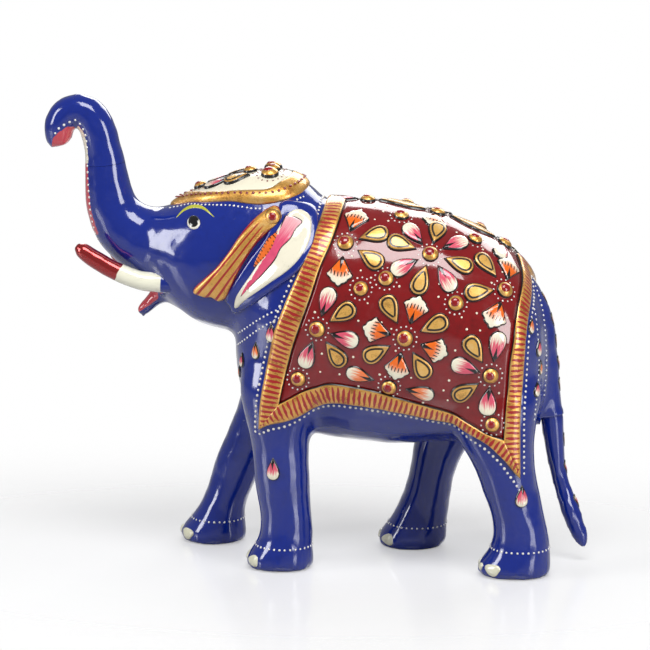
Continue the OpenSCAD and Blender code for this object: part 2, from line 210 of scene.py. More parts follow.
bodyMesh = fuse([uprightRings(body[key]) for key in ("torso", "head")]
                + [levelRings(leg) for leg in body["legs"]]
                + [tubeRings(body[key]) for key in ("trunk", "tail", "lip")])
tailMesh = fuse([tubeRings(body["tailLow"])])
bodyVerts, bodyNormals, bodyFaces = [], [], []
for part in (bodyMesh, tailMesh):
    first = len(bodyVerts)
    bodyVerts += [v.co.copy() for v in part.vertices]
    bodyNormals += [v.normal.copy() for v in part.vertices]
    bodyFaces += [tuple(first + i for i in p.vertices) for p in part.polygons]
bodyTree = BVHTree.FromPolygons(bodyVerts, bodyFaces)
print("body surface:", len(bodyFaces), "faces")


def landed(start, direction):
    hit, normal, index, gap = bodyTree.ray_cast(start, direction)
    if hit is None:
        hit, normal, index, gap = bodyTree.find_nearest(start + direction * 30)
    smooth = Vector((0, 0, 0))
    for i in bodyFaces[index]:
        smooth += bodyNormals[i]
    return hit, smooth.normalized()


def fromSide(x, z, side=near):
    return landed(Vector((x, side * 60, z)), Vector((0, -side, 0)))


def fromAxis(x, turn, side=near, axis=72):
    a = math.radians(turn)
    out = Vector((0, side * math.cos(a), math.sin(a)))
    return landed(Vector((x, 0, axis)) + out * 60, -out)


def tangentFrame(spot, turn, side=near):
    p, n = spot
    u = Vector((1, 0, 0))
    u = (u - n * u.dot(n)).normalized()
    v = n.cross(u) * -side
    a = math.radians(turn)
    return p, n, u * math.cos(a) + v * math.sin(a), v * math.cos(a) - u * math.sin(a)


def onFrame(f):
    p, n, u, v = f
    return lambda a, b: landed(p + u * a + v * b + n * 10, -n)


def newSheet():
    return {"verts": [], "faces": [], "along": [], "across": [], "rim": []}


def addVert(sheet, p, along=0.0, across=0.0, rim=0.0):
    sheet["verts"].append(p)
    sheet["along"].append(along)
    sheet["across"].append(across)
    sheet["rim"].append(rim)
    return len(sheet["verts"]) - 1


def edgeDistance(points, loop):
    a, b = loop, np.roll(loop, -1, 0)
    d = b - a
    rel = points[:, None, :] - a[None]
    t = np.clip((rel * d).sum(2) / np.maximum((d * d).sum(1), 1e-9), 0, 1)
    return np.linalg.norm(rel - t[..., None] * d, axis=2).min(1)


def inside(points, loop):
    a, b = loop, np.roll(loop, -1, 0)
    x, y = points[:, None, 0], points[:, None, 1]
    rise = np.where(a[:, 1] == b[:, 1], 1e-9, b[:, 1] - a[:, 1])
    cross = ((a[:, 1] > y) != (b[:, 1] > y)) & (x < (b[:, 0] - a[:, 0]) * (y - a[:, 1]) / rise + a[:, 0])
    return cross.sum(1) % 2 == 1


def addRelief(sheet, outline, place, height, edge=0.6, lift=0.0, spacing=0.9, steps=(0.12, 0.3, 0.6),
              shape=None, chart=None):
    loop = np.array(outline, float)
    nextOne, lastOne = np.roll(loop, -1, 0), np.roll(loop, 1, 0)
    if (loop[:, 0] * nextOne[:, 1] - nextOne[:, 0] * loop[:, 1]).sum() < 0:
        loop = loop[::-1]
        nextOne, lastOne = np.roll(loop, -1, 0), np.roll(loop, 1, 0)
    t = nextOne - lastOne
    t /= np.linalg.norm(t, axis=1)[:, None]
    inward = np.stack([-t[:, 1], t[:, 0]], 1)
    clouds = [loop]
    for step in steps:
        ring = loop + inward * step
        clouds.append(ring[(edgeDistance(ring, loop) > step * 0.85) & inside(ring, loop)])
    lo, hi = loop.min(0), loop.max(0)
    gx, gy = np.meshgrid(np.arange(lo[0], hi[0], spacing), np.arange(lo[1], hi[1], spacing))
    grid = np.stack([gx.ravel() + 0.13 * spacing, gy.ravel() + 0.21 * spacing], 1)
    grid = grid[inside(grid, loop)]
    if len(grid):
        clouds.append(grid[edgeDistance(grid, loop) > steps[-1] + spacing * 0.45])
    flat = np.concatenate(clouds)
    n = len(loop)
    verts, _, faces, origin, _, _ = geometry.delaunay_2d_cdt(
        [Vector(p) for p in flat], [(i, (i + 1) % n) for i in range(n)], [], 1, 1e-5)
    gaps = edgeDistance(np.array([tuple(v) for v in verts]), loop)
    base = len(sheet["verts"])
    foot = {}
    for k, v in enumerate(verts):
        p, normal = place(v.x, v.y)
        d = 0.0 if any(i < n for i in origin[k]) else float(gaps[k])
        h = lift + height * math.sqrt(max(0, 1 - (1 - min(d / edge, 1)) ** 2))
        if shape:
            h += shape(v.x, v.y, d)
        along, across = chart(v.x, v.y) if chart else (v.x, v.y)
        addVert(sheet, p + normal * h, along, across, d)
        for i in origin[k]:
            if i < n:
                foot[i] = (base + k, p - normal * 0.4, along, across)
    for f in faces:
        sheet["faces"].append([base + i for i in f])
    ring = [foot[i] for i in range(n) if i in foot]
    low = [addVert(sheet, p, a, c, 0.0) for _, p, a, c in ring]
    m = len(ring)
    for i in range(m):
        j = (i + 1) % m
        sheet["faces"].append([ring[i][0], low[i], low[j], ring[j][0]])
    sheet["faces"].append(low[::-1])


def straightenAlong(sheet, rows):
    # distance along the band's middle line, so the painted stripes stand square to it
    reach = 22
    place = lambda row: np.array([tuple(sheet["verts"][i]) for i in row])
    middle = np.array([place(row[:-2]).mean(0) for row in rows])
    middle = np.concatenate([[middle[0] * 9 - middle[1] * 8], middle, [middle[-1] * 9 - middle[-2] * 8]])
    step = np.linalg.norm(np.diff(middle, axis=0), axis=1)
    run = np.r_[0, np.cumsum(step)]
    a, d = middle[:-1], np.diff(middle, axis=0)
    for i, row in enumerate(rows):
        first, last = max(0, i - reach), min(len(d), i + reach + 2)
        rel = place(row)[:, None] - a[None, first:last]
        t = np.clip((rel * d[first:last]).sum(2) / (step[first:last] ** 2), 0, 1)
        gap = np.linalg.norm(rel - t[..., None] * d[first:last], axis=2)
        best = gap.argmin(1)
        for k, v in enumerate(row):
            b = first + best[k]
            sheet["along"][v] = float(run[b] + t[k, best[k]] * step[b])


def addBand(sheet, outer, inner, place, profile, closed=False, drop=0.5):
    rows = []
    for pa, pb in zip(np.array(outer), np.array(inner)):
        row = []
        for s, h in profile:
            p, normal = place(*(pa * (1 - s) + pb * s))
            row.append(addVert(sheet, p + normal * h, 0.0, s, min(s, 1 - s)))
        for s in (1, 0):
            p, normal = place(*(pa * (1 - s) + pb * s))
            row.append(addVert(sheet, p - normal * drop, 0.0, s))
        rows.append(row)
    straightenAlong(sheet, rows)
    n = len(rows[0])
    pairs = list(zip(rows, rows[1:])) + ([(rows[-1], rows[0])] if closed else [])
    for a, b in pairs:
        for j in range(n):
            k = (j + 1) % n
            sheet["faces"].append([a[j], a[k], b[k], b[j]])
    if not closed:
        sheet["faces"] += [rows[0][::-1], rows[-1]]


def addGrid(sheet, top, low, chart):
    n, m = len(top), len(top[0])
    upper, lower = [[[addVert(sheet, layer[i][j], *chart(i, j)) for j in range(m)] for i in range(n)]
                    for layer in (top, low)]
    for i in range(n - 1):
        for j in range(m - 1):
            sheet["faces"].append([upper[i][j], upper[i + 1][j], upper[i + 1][j + 1], upper[i][j + 1]])
            sheet["faces"].append([lower[i][j], lower[i][j + 1], lower[i + 1][j + 1], lower[i + 1][j]])
    rim = [(i, 0) for i in range(n)] + [(n - 1, j) for j in range(1, m)]
    rim += [(i, m - 1) for i in range(n - 2, -1, -1)] + [(0, j) for j in range(m - 2, 0, -1)]
    for (a, b), (c, d) in zip(rim, rim[1:] + rim[:1]):
        sheet["faces"].append([upper[a][b], lower[a][b], lower[c][d], upper[c][d]])


def pieceFrom(name, sheet, material, replaced=()):
    mesh = bpy.data.meshes.new(name)
    mesh.from_pydata([Vector(p) * mm for p in sheet["verts"]], [], sheet["faces"])
    for key in ("along", "across", "rim"):
        mesh.attributes.new(key, "FLOAT", "POINT").data.foreach_set("value", sheet[key])
    bm = bmesh.new()
    bm.from_mesh(mesh)
    bmesh.ops.recalc_face_normals(bm, faces=bm.faces)
    bm.to_mesh(mesh)
    bm.free()
    return finishPiece(newObject(name, mesh), material, replaced)


def finishPiece(o, material, replaced=()):
    o.data.materials.clear()
    o.data.materials.append(material)
    o.data.polygons.foreach_set("use_smooth", [True] * len(o.data.polygons))
    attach(o, "root")
    if replaced:
        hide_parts(*replaced)
    return o


def node(tree, kind, inputs=None, **props):
    n = tree.nodes.new(kind)
    for k, v in props.items():
        setattr(n, k, v)
    for k, v in (inputs or {}).items():
        if isinstance(v, bpy.types.NodeSocket):
            tree.links.new(v, n.inputs[k])
        else:
            n.inputs[k].default_value = v
    return n


def maths(tree, kind, a, b=0.0):
    return node(tree, "ShaderNodeMath", {0: a, 1: b}, operation=kind).outputs[0]


def plus(tree, a, b):
    return maths(tree, "ADD", a, b)


def minus(tree, a, b):
    return maths(tree, "SUBTRACT", a, b)


def times(tree, a, b):
    return maths(tree, "MULTIPLY", a, b)


def unsigned(tree, a):
    return maths(tree, "ABSOLUTE", a)


def fraction(tree, a):
    return maths(tree, "FRACT", a)


def between(tree, value, lo, hi):
    return node(tree, "ShaderNodeMapRange", {"Value": value, "From Min": lo, "From Max": hi},
                interpolation_type="SMOOTHSTEP").outputs["Result"]


def blendColour(tree, mask, a, b):
    return node(tree, "ShaderNodeMix", {0: mask, 6: a, 7: b}, data_type="RGBA").outputs[2]


def fieldOf(tree, name):
    return node(tree, "ShaderNodeAttribute", attribute_name=name).outputs["Fac"]


def colour(r, g, b):
    return tuple(((c / 255 + 0.055) / 1.055) ** 2.4 if c > 10 else c / 255 / 12.92 for c in (r, g, b)) + (1.0,)


def newGroup(name, inputs, outputs):
    g = bpy.data.node_groups.new(name, "ShaderNodeTree")
    for label, kind, value in inputs:
        s = g.interface.new_socket(label, in_out="INPUT", socket_type=kind)
        if value is not None:
            s.default_value = value
    for label, kind in outputs:
        g.interface.new_socket(label, in_out="OUTPUT", socket_type=kind)
    return g, g.nodes.new("NodeGroupInput").outputs, g.nodes.new("NodeGroupOutput").inputs


def lacquerGroup():
    g, i, o = newGroup("lacquer", [
        ("Tint", "NodeSocketColor", (0.5, 0.5, 0.5, 1)), ("Mottle", "NodeSocketFloat", 0.2),
        ("Specks", "NodeSocketFloat", 0.5), ("Ripple", "NodeSocketFloat", 0.3), ("Gloss", "NodeSocketFloat", 0.12)],
        [("Color", "NodeSocketColor"), ("Roughness", "NodeSocketFloat"), ("Normal", "NodeSocketVector")])
    place = node(g, "ShaderNodeTexCoord").outputs["Object"]
    cloud = node(g, "ShaderNodeTexNoise", {"Vector": place, "Scale": 90.0, "Detail": 4.0}).outputs["Fac"]
    fine = node(g, "ShaderNodeTexNoise", {"Vector": place, "Scale": 420.0, "Detail": 3.0}).outputs["Fac"]
    grit = node(g, "ShaderNodeTexNoise", {"Vector": place, "Scale": 1500.0, "Detail": 2.0}).outputs["Fac"]
    shade = times(g, minus(g, plus(g, cloud, fine), 1.0), i["Mottle"])
    dark = blendColour(g, between(g, shade, 0.0, -0.25), i["Tint"], (0, 0, 0, 1))
    light = blendColour(g, between(g, shade, 0.0, 1.2), dark, (1, 1, 1, 1))
    speck = times(g, between(g, grit, 0.72, 0.78), i["Specks"])
    g.links.new(blendColour(g, speck, light, (0.01, 0.01, 0.015, 1)), o["Color"])
    g.links.new(plus(g, i["Gloss"], times(g, fine, 0.08)), o["Roughness"])
    wave = node(g, "ShaderNodeTexNoise", {"Vector": place, "Scale": 260.0, "Detail": 2.0, "Roughness": 0.4})
    height = plus(g, times(g, wave.outputs["Fac"], i["Ripple"]), times(g, speck, 0.15))
    g.links.new(node(g, "ShaderNodeBump", {"Strength": 0.5, "Distance": 0.0006, "Height": height}).outputs[0],
                o["Normal"])
    return g


def brushedGroup():
    g, i, o = newGroup("brushedPaint", [
        ("Tint", "NodeSocketColor", (0.7, 0.45, 0.15, 1)), ("Shade", "NodeSocketColor", (0.3, 0.12, 0.03, 1)),
        ("Wear", "NodeSocketFloat", 0.5)],
        [("Color", "NodeSocketColor"), ("Roughness", "NodeSocketFloat"), ("Normal", "NodeSocketVector")])
    place = node(g, "ShaderNodeTexCoord").outputs["Object"]
    patch = node(g, "ShaderNodeTexNoise", {"Vector": place, "Scale": 230.0, "Detail": 5.0}).outputs["Fac"]
    grain = node(g, "ShaderNodeTexNoise", {"Vector": place, "Scale": 2600.0, "Detail": 3.0}).outputs["Fac"]
    mix = plus(g, times(g, patch, 0.65), times(g, grain, 0.35))
    worn = times(g, between(g, mix, 0.5, 0.36), i["Wear"])
    tinted = blendColour(g, worn, i["Tint"], i["Shade"])
    bright = times(g, between(g, mix, 0.52, 0.66), 0.35)
    g.links.new(blendColour(g, bright, tinted, (1.0, 0.78, 0.42, 1)), o["Color"])
    g.links.new(plus(g, 0.22, times(g, grain, 0.3)), o["Roughness"])
    height = plus(g, patch, times(g, grain, 0.4))
    g.links.new(node(g, "ShaderNodeBump", {"Strength": 0.45, "Distance": 0.0003, "Height": height}).outputs[0],
                o["Normal"])
    return g


def streakGroup():
    g, i, o = newGroup("brushStreaks", [
        ("Along", "NodeSocketFloat", 0.0), ("Across", "NodeSocketFloat", 0.0), ("Reach", "NodeSocketFloat", 0.5),
        ("Spread", "NodeSocketFloat", 0.25), ("Bristles", "NodeSocketFloat", 4.0)], [("Mask", "NodeSocketFloat")])
    spot = node(g, "ShaderNodeTexCoord").outputs["Object"]
    where = node(g, "ShaderNodeCombineXYZ", {"X": times(g, i["Across"], i["Bristles"]),
                                             "Y": times(g, i["Along"], 0.7)})
    shift = node(g, "ShaderNodeVectorMath", {0: spot, 1: (90.0, 90.0, 90.0)}, operation="MULTIPLY").outputs[0]
    moved = node(g, "ShaderNodeVectorMath", {0: where.outputs[0], 1: shift}, operation="ADD").outputs[0]
    hair = node(g, "ShaderNodeTexNoise", {"Vector": moved, "Scale": 2.0, "Detail": 2.0}).outputs["Fac"]
    end = plus(g, i["Reach"], times(g, minus(g, hair, 0.5), i["Spread"]))
    g.links.new(between(g, minus(g, i["Along"], end), 0.14, -0.14), o["Mask"])
    return g


groups = {"lacquer": lacquerGroup(), "brushed": brushedGroup(), "streaks": streakGroup()}


def useGroup(tree, key, inputs):
    return node(tree, "ShaderNodeGroup", inputs, node_tree=groups[key]).outputs


def newMaterial(name, build, coat=1.0, coatRoughness=0.03):
    m = bpy.data.materials.new(name)
    m.use_nodes = True
    tree = m.node_tree
    tree.nodes.clear()
    shader = node(tree, "ShaderNodeBsdfPrincipled", {"Coat Weight": coat, "Coat Roughness": coatRoughness})
    made = build(tree)
    for key, socket in made.items():
        tree.links.new(socket, shader.inputs[key])
    node(tree, "ShaderNodeOutputMaterial", {"Surface": shader.outputs[0]})
    return m


def surface(outs, **changed):
    return {"Base Color": changed.get("colour", outs["Color"]), "Roughness": outs["Roughness"],
            "Normal": outs["Normal"], **{k: v for k, v in changed.items() if k != "colour"}}


paint = {
    "stripeEvery": 1.65,  # millimetres between the border's brush lines
    "blue": colour(4, 35, 132), "deepRed": colour(128, 3, 8), "gold": colour(236, 178, 86),
    "goldShade": colour(150, 84, 30), "cream": colour(243, 236, 212), "pink": colour(220, 40, 92),
    "orange": colour(240, 108, 14), "ink": colour(14, 8, 10), "stroke": colour(164, 14, 22),
    "stone": colour(146, 8, 14), "leaf": colour(190, 190, 60),
}


# mottle of the tint, black specks, waves of the coat, roughness under it
def lacquered(tree, tint, mottle, specks, ripple, gloss):
    return useGroup(tree, "lacquer", {"Tint": tint, "Mottle": mottle, "Specks": specks, "Ripple": ripple,
                                      "Gloss": gloss})


def gilded(tree, tint, wear):
    return useGroup(tree, "brushed", {"Tint": tint, "Shade": paint["goldShade"], "Wear": wear})


def streaked(tree, along, across, reach, spread, bristles):
    return useGroup(tree, "streaks", {"Along": along, "Across": across, "Reach": reach, "Spread": spread,
                                      "Bristles": bristles})["Mask"]


def enamelBlue(tree):
    outs = lacquered(tree, paint["blue"], 0.16, 0.75, 0.5, 0.1)
    blush, pale = fieldOf(tree, "blush"), fieldOf(tree, "pale")
    place = node(tree, "ShaderNodeTexCoord").outputs["Object"]
    ragged = node(tree, "ShaderNodeTexNoise", {"Vector": place, "Scale": 600.0}).outputs["Fac"]
    edge = times(tree, minus(tree, ragged, 0.5), 0.5)
    pinked = blendColour(tree, between(tree, plus(tree, blush, edge), 0.4, 0.6), outs["Color"], colour(205, 66, 78))
    whole = blendColour(tree, between(tree, plus(tree, pale, edge), 0.4, 0.6), pinked, paint["cream"])
    return surface(outs, colour=whole)


def enamelRed(tree):
    return surface(lacquered(tree, paint["deepRed"], 0.22, 0.25, 0.3, 0.1))


def goldBand(tree):
    along, across, rim = fieldOf(tree, "along"), fieldOf(tree, "across"), fieldOf(tree, "rim")
    outs = gilded(tree, paint["gold"], 0.8)
    place = node(tree, "ShaderNodeTexCoord").outputs["Object"]
    wobble = node(tree, "ShaderNodeTexNoise", {"Vector": place, "Scale": 320.0, "Detail": 2.0}).outputs["Fac"]
    slant = plus(tree, along, times(tree, wobble, 0.9))
    cycle = unsigned(tree, minus(tree, fraction(tree, maths(tree, "DIVIDE", slant, paint["stripeEvery"])), 0.5))
    width = plus(tree, 0.13, times(tree, between(tree, rim, 0.06, 0.4), 0.15))
    width = plus(tree, width, times(tree, minus(tree, wobble, 0.5), 0.25))
    stripe = between(tree, minus(tree, width, cycle), -0.03, 0.05)
    stripe = times(tree, stripe, between(tree, across, 0.07, 0.16))
    stripe = times(tree, stripe, between(tree, across, 0.93, 0.84))
    striped = blendColour(tree, stripe, outs["Color"], paint["stroke"])
    line = between(tree, across, 0.93, 0.955)
    inked = blendColour(tree, line, striped, paint["ink"])
    metal = times(tree, minus(tree, 1.0, maths(tree, "MAXIMUM", stripe, line)), 0.7)
    return surface(outs, colour=inked, Metallic=metal)


def inkedEdge(tree, base, rim, width):
    return blendColour(tree, between(tree, rim, width, width - 0.09), base, paint["ink"])


def inkStroke(tree, base, along, across, start, end, width):
    taper = times(tree, minus(tree, end, along), width / (end - start))
    inside = between(tree, minus(tree, taper, unsigned(tree, across)), -0.02, 0.04)
    inside = times(tree, inside, between(tree, along, start - 0.03, start + 0.03))
    return blendColour(tree, inside, base, paint["ink"])


def goldPetal(tree):
    along, rim = fieldOf(tree, "along"), fieldOf(tree, "rim")
    outs = gilded(tree, colour(246, 192, 98), 0.5)
    # painted shade: the gold darkens toward the petal's sloping edge, as if the relief's rim were in shade
    paintedEdgeShade = blendColour(tree, times(tree, between(tree, rim, 1.7, 0.9), 0.3), outs["Color"], paint["goldShade"])
    gap = unsigned(tree, minus(tree, rim, 1.25))  # the inner line runs this far in from the edge
    inner = times(tree, between(tree, gap, 0.34, 0.25), between(tree, along, 0.24, 0.3))
    lined = blendColour(tree, inner, paintedEdgeShade, paint["ink"])
    whole = inkedEdge(tree, lined, rim, 0.52)
    metal = times(tree, minus(tree, 1.0, inner), between(tree, rim, 0.2, 0.35))
    return surface(outs, colour=whole, Metallic=times(tree, metal, 0.5))


def dropPetal(tint, reach):
    def build(tree):
        along, across, rim = fieldOf(tree, "along"), fieldOf(tree, "across"), fieldOf(tree, "rim")
        outs = lacquered(tree, paint["cream"], 0.1, 0.3, 0.4, 0.14)
        wash = streaked(tree, along, across, reach, 0.9, 5.0)
        washed = blendColour(tree, times(tree, wash, 0.92), outs["Color"], tint)
        whole = inkStroke(tree, washed, along, across, 0.12, 0.56, 0.26)
        return surface(outs, colour=inkedEdge(tree, whole, rim, 0.52))
    return build


def fanPetal(tree):
    along, across, rim = fieldOf(tree, "along"), fieldOf(tree, "across"), fieldOf(tree, "rim")
    outs = lacquered(tree, paint["cream"], 0.1, 0.3, 0.4, 0.14)
    bow = plus(tree, along, times(tree, times(tree, across, across), 0.18))
    wash = streaked(tree, bow, across, 0.64, 0.3, 7.0)
    washed = blendColour(tree, wash, outs["Color"], paint["orange"])
    row = between(tree, unsigned(tree, minus(tree, bow, 0.62)), 0.085, 0.06)
    teeth = unsigned(tree, minus(tree, fraction(tree, times(tree, across, 4.0)), 0.5))
    ticks = times(tree, row, between(tree, teeth, 0.2, 0.12))
    ticked = blendColour(tree, ticks, washed, paint["ink"])
    whole = inkStroke(tree, ticked, along, across, 0.1, 0.52, 0.2)
    return surface(outs, colour=inkedEdge(tree, whole, rim, 0.5))


def bossGold(tree):
    outs = gilded(tree, paint["gold"], 0.4)
    rise = fieldOf(tree, "rise")
    ring = between(tree, rise, 0.46, 0.4)
    metal = times(tree, minus(tree, 1.0, ring), 0.75)
    return surface(outs, colour=blendColour(tree, ring, outs["Color"], paint["ink"]), Metallic=metal)


def plainLacquer(tint, mottle=0.12, specks=0.2, ripple=0.3):
    return lambda tree: surface(lacquered(tree, tint, mottle, specks, ripple, 0.12))


def rimGold(tree):
    across = fieldOf(tree, "across")
    outs = gilded(tree, paint["gold"], 0.75)
    line = between(tree, across, 0.955, 0.975)
    metal = times(tree, minus(tree, 1.0, line), 0.75)
    return surface(outs, colour=blendColour(tree, line, outs["Color"], paint["ink"]), Metallic=metal)


def earFanGold(tree):
    along, across, rim = fieldOf(tree, "along"), fieldOf(tree, "across"), fieldOf(tree, "rim")
    outs = gilded(tree, paint["gold"], 0.6)
    place = fraction(tree, times(tree, across, 2.0))
    groove = between(tree, unsigned(tree, minus(tree, place, 0.5)), 0.32, 0.4)
    groove = times(tree, groove, between(tree, along, 0.12, 0.2))
    edge = between(tree, rim, 0.45, 0.3)
    mask = maths(tree, "MAXIMUM", groove, edge)
    metal = times(tree, minus(tree, 1.0, mask), 0.7)
    return surface(outs, colour=blendColour(tree, mask, outs["Color"], paint["stroke"]), Metallic=metal)


def earVeinPink(tree):
    along, across, rim = fieldOf(tree, "along"), fieldOf(tree, "across"), fieldOf(tree, "rim")
    outs = lacquered(tree, colour(222, 78, 116), 0.2, 0.2, 0.3, 0.14)
    wash = streaked(tree, along, across, 0.12, 0.3, 5.0)
    pale = blendColour(tree, times(tree, wash, 0.7), outs["Color"], colour(250, 214, 214))
    return surface(outs, colour=inkedEdge(tree, pale, rim, 0.36))


def earLeafOrange(tree):
    along, rim = fieldOf(tree, "along"), fieldOf(tree, "rim")
    outs = lacquered(tree, colour(236, 112, 36), 0.2, 0.2, 0.3, 0.14)
    teeth = unsigned(tree, minus(tree, fraction(tree, times(tree, along, 0.9)), 0.5))
    ticks = times(tree, between(tree, teeth, 0.2, 0.1), between(tree, rim, 0.9, 0.5))
    return surface(outs, colour=inkedEdge(tree, blendColour(tree, ticks, outs["Color"], paint["ink"]), rim, 0.16))


def eyePaint(tree):
    across, along = fieldOf(tree, "across"), fieldOf(tree, "along")
    outs = lacquered(tree, colour(238, 234, 218), 0.08, 0.1, 0.1, 0.06)
    lid = blendColour(tree, between(tree, across, 0.5, 1.0), outs["Color"], colour(84, 96, 112))
    dx = minus(tree, along, 0.05)
    dz = minus(tree, across, 0.25)
    reach = maths(tree, "SQRT", plus(tree, times(tree, dx, dx), times(tree, dz, dz)))
    pupil = blendColour(tree, between(tree, reach, 1.5, 1.4), lid, colour(10, 10, 12))
    rim = maths(tree, "SQRT", plus(tree, times(tree, along, along), times(tree, across, across)))
    upper = times(tree, between(tree, rim, 1.7, 1.85), between(tree, across, -0.2, 0.3))
    return surface(outs, colour=blendColour(tree, upper, pupil, paint["ink"]))


def tuskPaint(tree):
    along = fieldOf(tree, "along")
    place = node(tree, "ShaderNodeTexCoord").outputs["Object"]
    jag = node(tree, "ShaderNodeTexNoise", {"Vector": place, "Scale": 330.0, "Detail": 3.0}).outputs["Fac"]
    outs = lacquered(tree, colour(240, 238, 216), 0.14, 0.3, 0.3, 0.12)
    dipped = between(tree, plus(tree, along, times(tree, jag, 2.2)), 20.6, 20.9)
    ringed = blendColour(tree, between(tree, along, 5.7, 5.3), outs["Color"], paint["blue"])
    return surface(outs, colour=blendColour(tree, dipped, ringed, colour(166, 36, 36)),
                   Metallic=times(tree, dipped, 0.6))


def carvedWood(tree):
    place = node(tree, "ShaderNodeTexCoord").outputs["Object"]
    grain = node(tree, "ShaderNodeTexWave", {"Vector": place, "Scale": 260.0, "Distortion": 3.0, "Detail": 3.0})
    pores = node(tree, "ShaderNodeTexNoise", {"Vector": place, "Scale": 1800.0}).outputs["Fac"]
    tone = blendColour(tree, grain.outputs["Fac"], colour(200, 160, 108), colour(150, 106, 62))
    bump = node(tree, "ShaderNodeBump", {"Strength": 0.4, "Distance": 0.0002, "Height": pores})
    rough = plus(tree, 0.5, times(tree, pores, 0.2))
    return {"Base Color": tone, "Roughness": rough, "Normal": bump.outputs[0]}


def studioFloor(tree):
    place = node(tree, "ShaderNodeTexCoord").outputs["Object"]
    soft = node(tree, "ShaderNodeTexNoise", {"Vector": place, "Scale": 3.0}).outputs["Fac"]
    shaped = node(tree, "ShaderNodeVectorMath", {0: place, 1: (0.6, 1.0, 1.0)}, operation="MULTIPLY").outputs[0]
    away = node(tree, "ShaderNodeVectorMath", {0: shaped}, operation="LENGTH").outputs["Value"]
    seen = node(tree, "ShaderNodeLightPath").outputs["Is Camera Ray"]
    thin = plus(tree, 0.4, times(tree, between(tree, away, 0.04, 0.16), 0.6))
    faded = times(tree, seen, thin)  # melts into the white surround
    white = blendColour(tree, soft, (0.97, 0.97, 0.98, 1), (0.99, 0.99, 1.0, 1))
    return {"Base Color": blendColour(tree, seen, (0.5, 0.5, 0.52, 1), white),
            "Roughness": plus(tree, 0.12, times(tree, soft, 0.04)),
            "Alpha": minus(tree, 1.0, faded)}


finish = {
    "blue": newMaterial("blueLacquer", enamelBlue, coatRoughness=0.02),
    "red": newMaterial("redLacquer", enamelRed, coatRoughness=0.02),
    "band": newMaterial("stripedGold", goldBand, coat=0.8),
    "goldPetal": newMaterial("goldPetalPaint", goldPetal, coat=0.8),
    "pinkPetal": newMaterial("pinkPetalPaint", dropPetal(paint["pink"], 0.66)),
    "orangeDrop": newMaterial("orangeDropPaint", dropPetal(paint["orange"], 0.7)),
    "orangeFan": newMaterial("orangeFanPaint", fanPetal),
    "boss": newMaterial("bossGold", bossGold, coat=0.8),
    "stone": newMaterial("rubyPaint", plainLacquer(paint["stone"], 0.3)),
    "pearl": newMaterial("pearlPaint", plainLacquer(colour(232, 230, 224), 0.1)),
    "redDot": newMaterial("redDotPaint", plainLacquer(colour(128, 10, 24), 0.1)),
    "cloth": newMaterial("creamLacquer", plainLacquer(paint["cream"], 0.12, 0.3)),
    "rim": newMaterial("rimGold", rimGold, coat=0.8),
    "fan": newMaterial("earFanGold", earFanGold, coat=0.8),
    "panel": newMaterial("earPanelCream", plainLacquer(colour(236, 230, 208), 0.2, 0.6, 0.6)),
    "vein": newMaterial("earVeinPink", earVeinPink),
    "leaf": newMaterial("earLeafOrange", earLeafOrange),
    "eye": newMaterial("eyePaint", eyePaint),
    "brow": newMaterial("browPaint", plainLacquer(paint["leaf"], 0.4)),
    "nail": newMaterial("nailPaint", plainLacquer(colour(228, 226, 200), 0.25, 0.3)),
    "tusk": newMaterial("tuskPaint", tuskPaint),
    "wood": newMaterial("carvedWood", carvedWood, coat=0.0),
}
print("finishes:", len(finish))

joints = {
    # point on the middle line, direction of the cut's normal, toward the separate piece
    "trunk": ((-67.9, 0, 126.5), (-0.1, 0, 1)),
    "tail": ((74.7, 0, 48), (0.13, 0, -1)),
    "gap": 0.05,
    "stubReach": 6,
    "stubFrom": 71.4,
}


trunkPaint = {
    "nostril": [[-84.6, 132], [-83.6, 135.2], [-81.5, 137.2], [-79.1, 138.6], [-77, 138.4], [-76.4, 136.4],
                [-77.5, 130.5], [-82, 129.5]],
    "lipLine": (-56.6, 78.6, 0.75),  # x, z and slope of the blue edge under the mouth
    "from": -44,  # nothing behind this x is painted
    "stripLow": 104,
    "stripFront": -55,
    "creamAbove": 127,
    "curlFrom": -76.5,
    "facing": 0.72,
}


def paintBody(mesh):
    blush = np.zeros(len(mesh.vertices))
    pale = np.zeros(len(mesh.vertices))
    middle = catmull([s[:2] for s in body["trunk"]], 8)
    nostril = np.array(trunkPaint["nostril"])
    lipX, lipZ, lipSlope = trunkPaint["lipLine"]
    for i, v in enumerate(mesh.vertices):
        x, y, z = v.co
        if x > trunkPaint["from"]:
            continue
        k = int(np.argmin(np.hypot(middle[:, 0] - x, middle[:, 1] - z)))
        a, b = middle[max(k - 1, 0)], middle[min(k + 1, len(middle) - 1)]
        d = (b - a) / np.linalg.norm(b - a)
        back = bodyNormals[i].dot(Vector((-d[1], 0, d[0])))  # 1 on the inner side of the curl
        if z > trunkPaint["stripLow"] and x < trunkPaint["stripFront"]:
            side = min(1, max(0, (back - trunkPaint["facing"]) * 4 + 0.5))
            if z > trunkPaint["creamAbove"] or x < trunkPaint["curlFrom"]:
                pale[i] = side
            else:
                blush[i] = side
        if x < -75 and z < 141:
            spot = np.array([[x, z]])
            gap = edgeDistance(spot, nostril)[0] * (1 if inside(spot, nostril)[0] else -1)
            blush[i] = max(blush[i], min(1, max(0, 0.5 + gap)))
            pale[i] *= 1 - blush[i]
        if x < -49 and 77 < z < 88 and abs(y) < 7:
            above = z - lipZ - (x - lipX) * lipSlope
            blush[i] = max(blush[i], min(1, max(0, above)) * min(1, max(0, -50 - x)))
    for key, values in (("blush", blush), ("pale", pale)):
        mesh.attributes.new(key, "FLOAT", "POINT").data.foreach_set("value", values)


def jointPlane(key):
    return Vector(joints[key][0]), Vector(joints[key][1]).normalized()


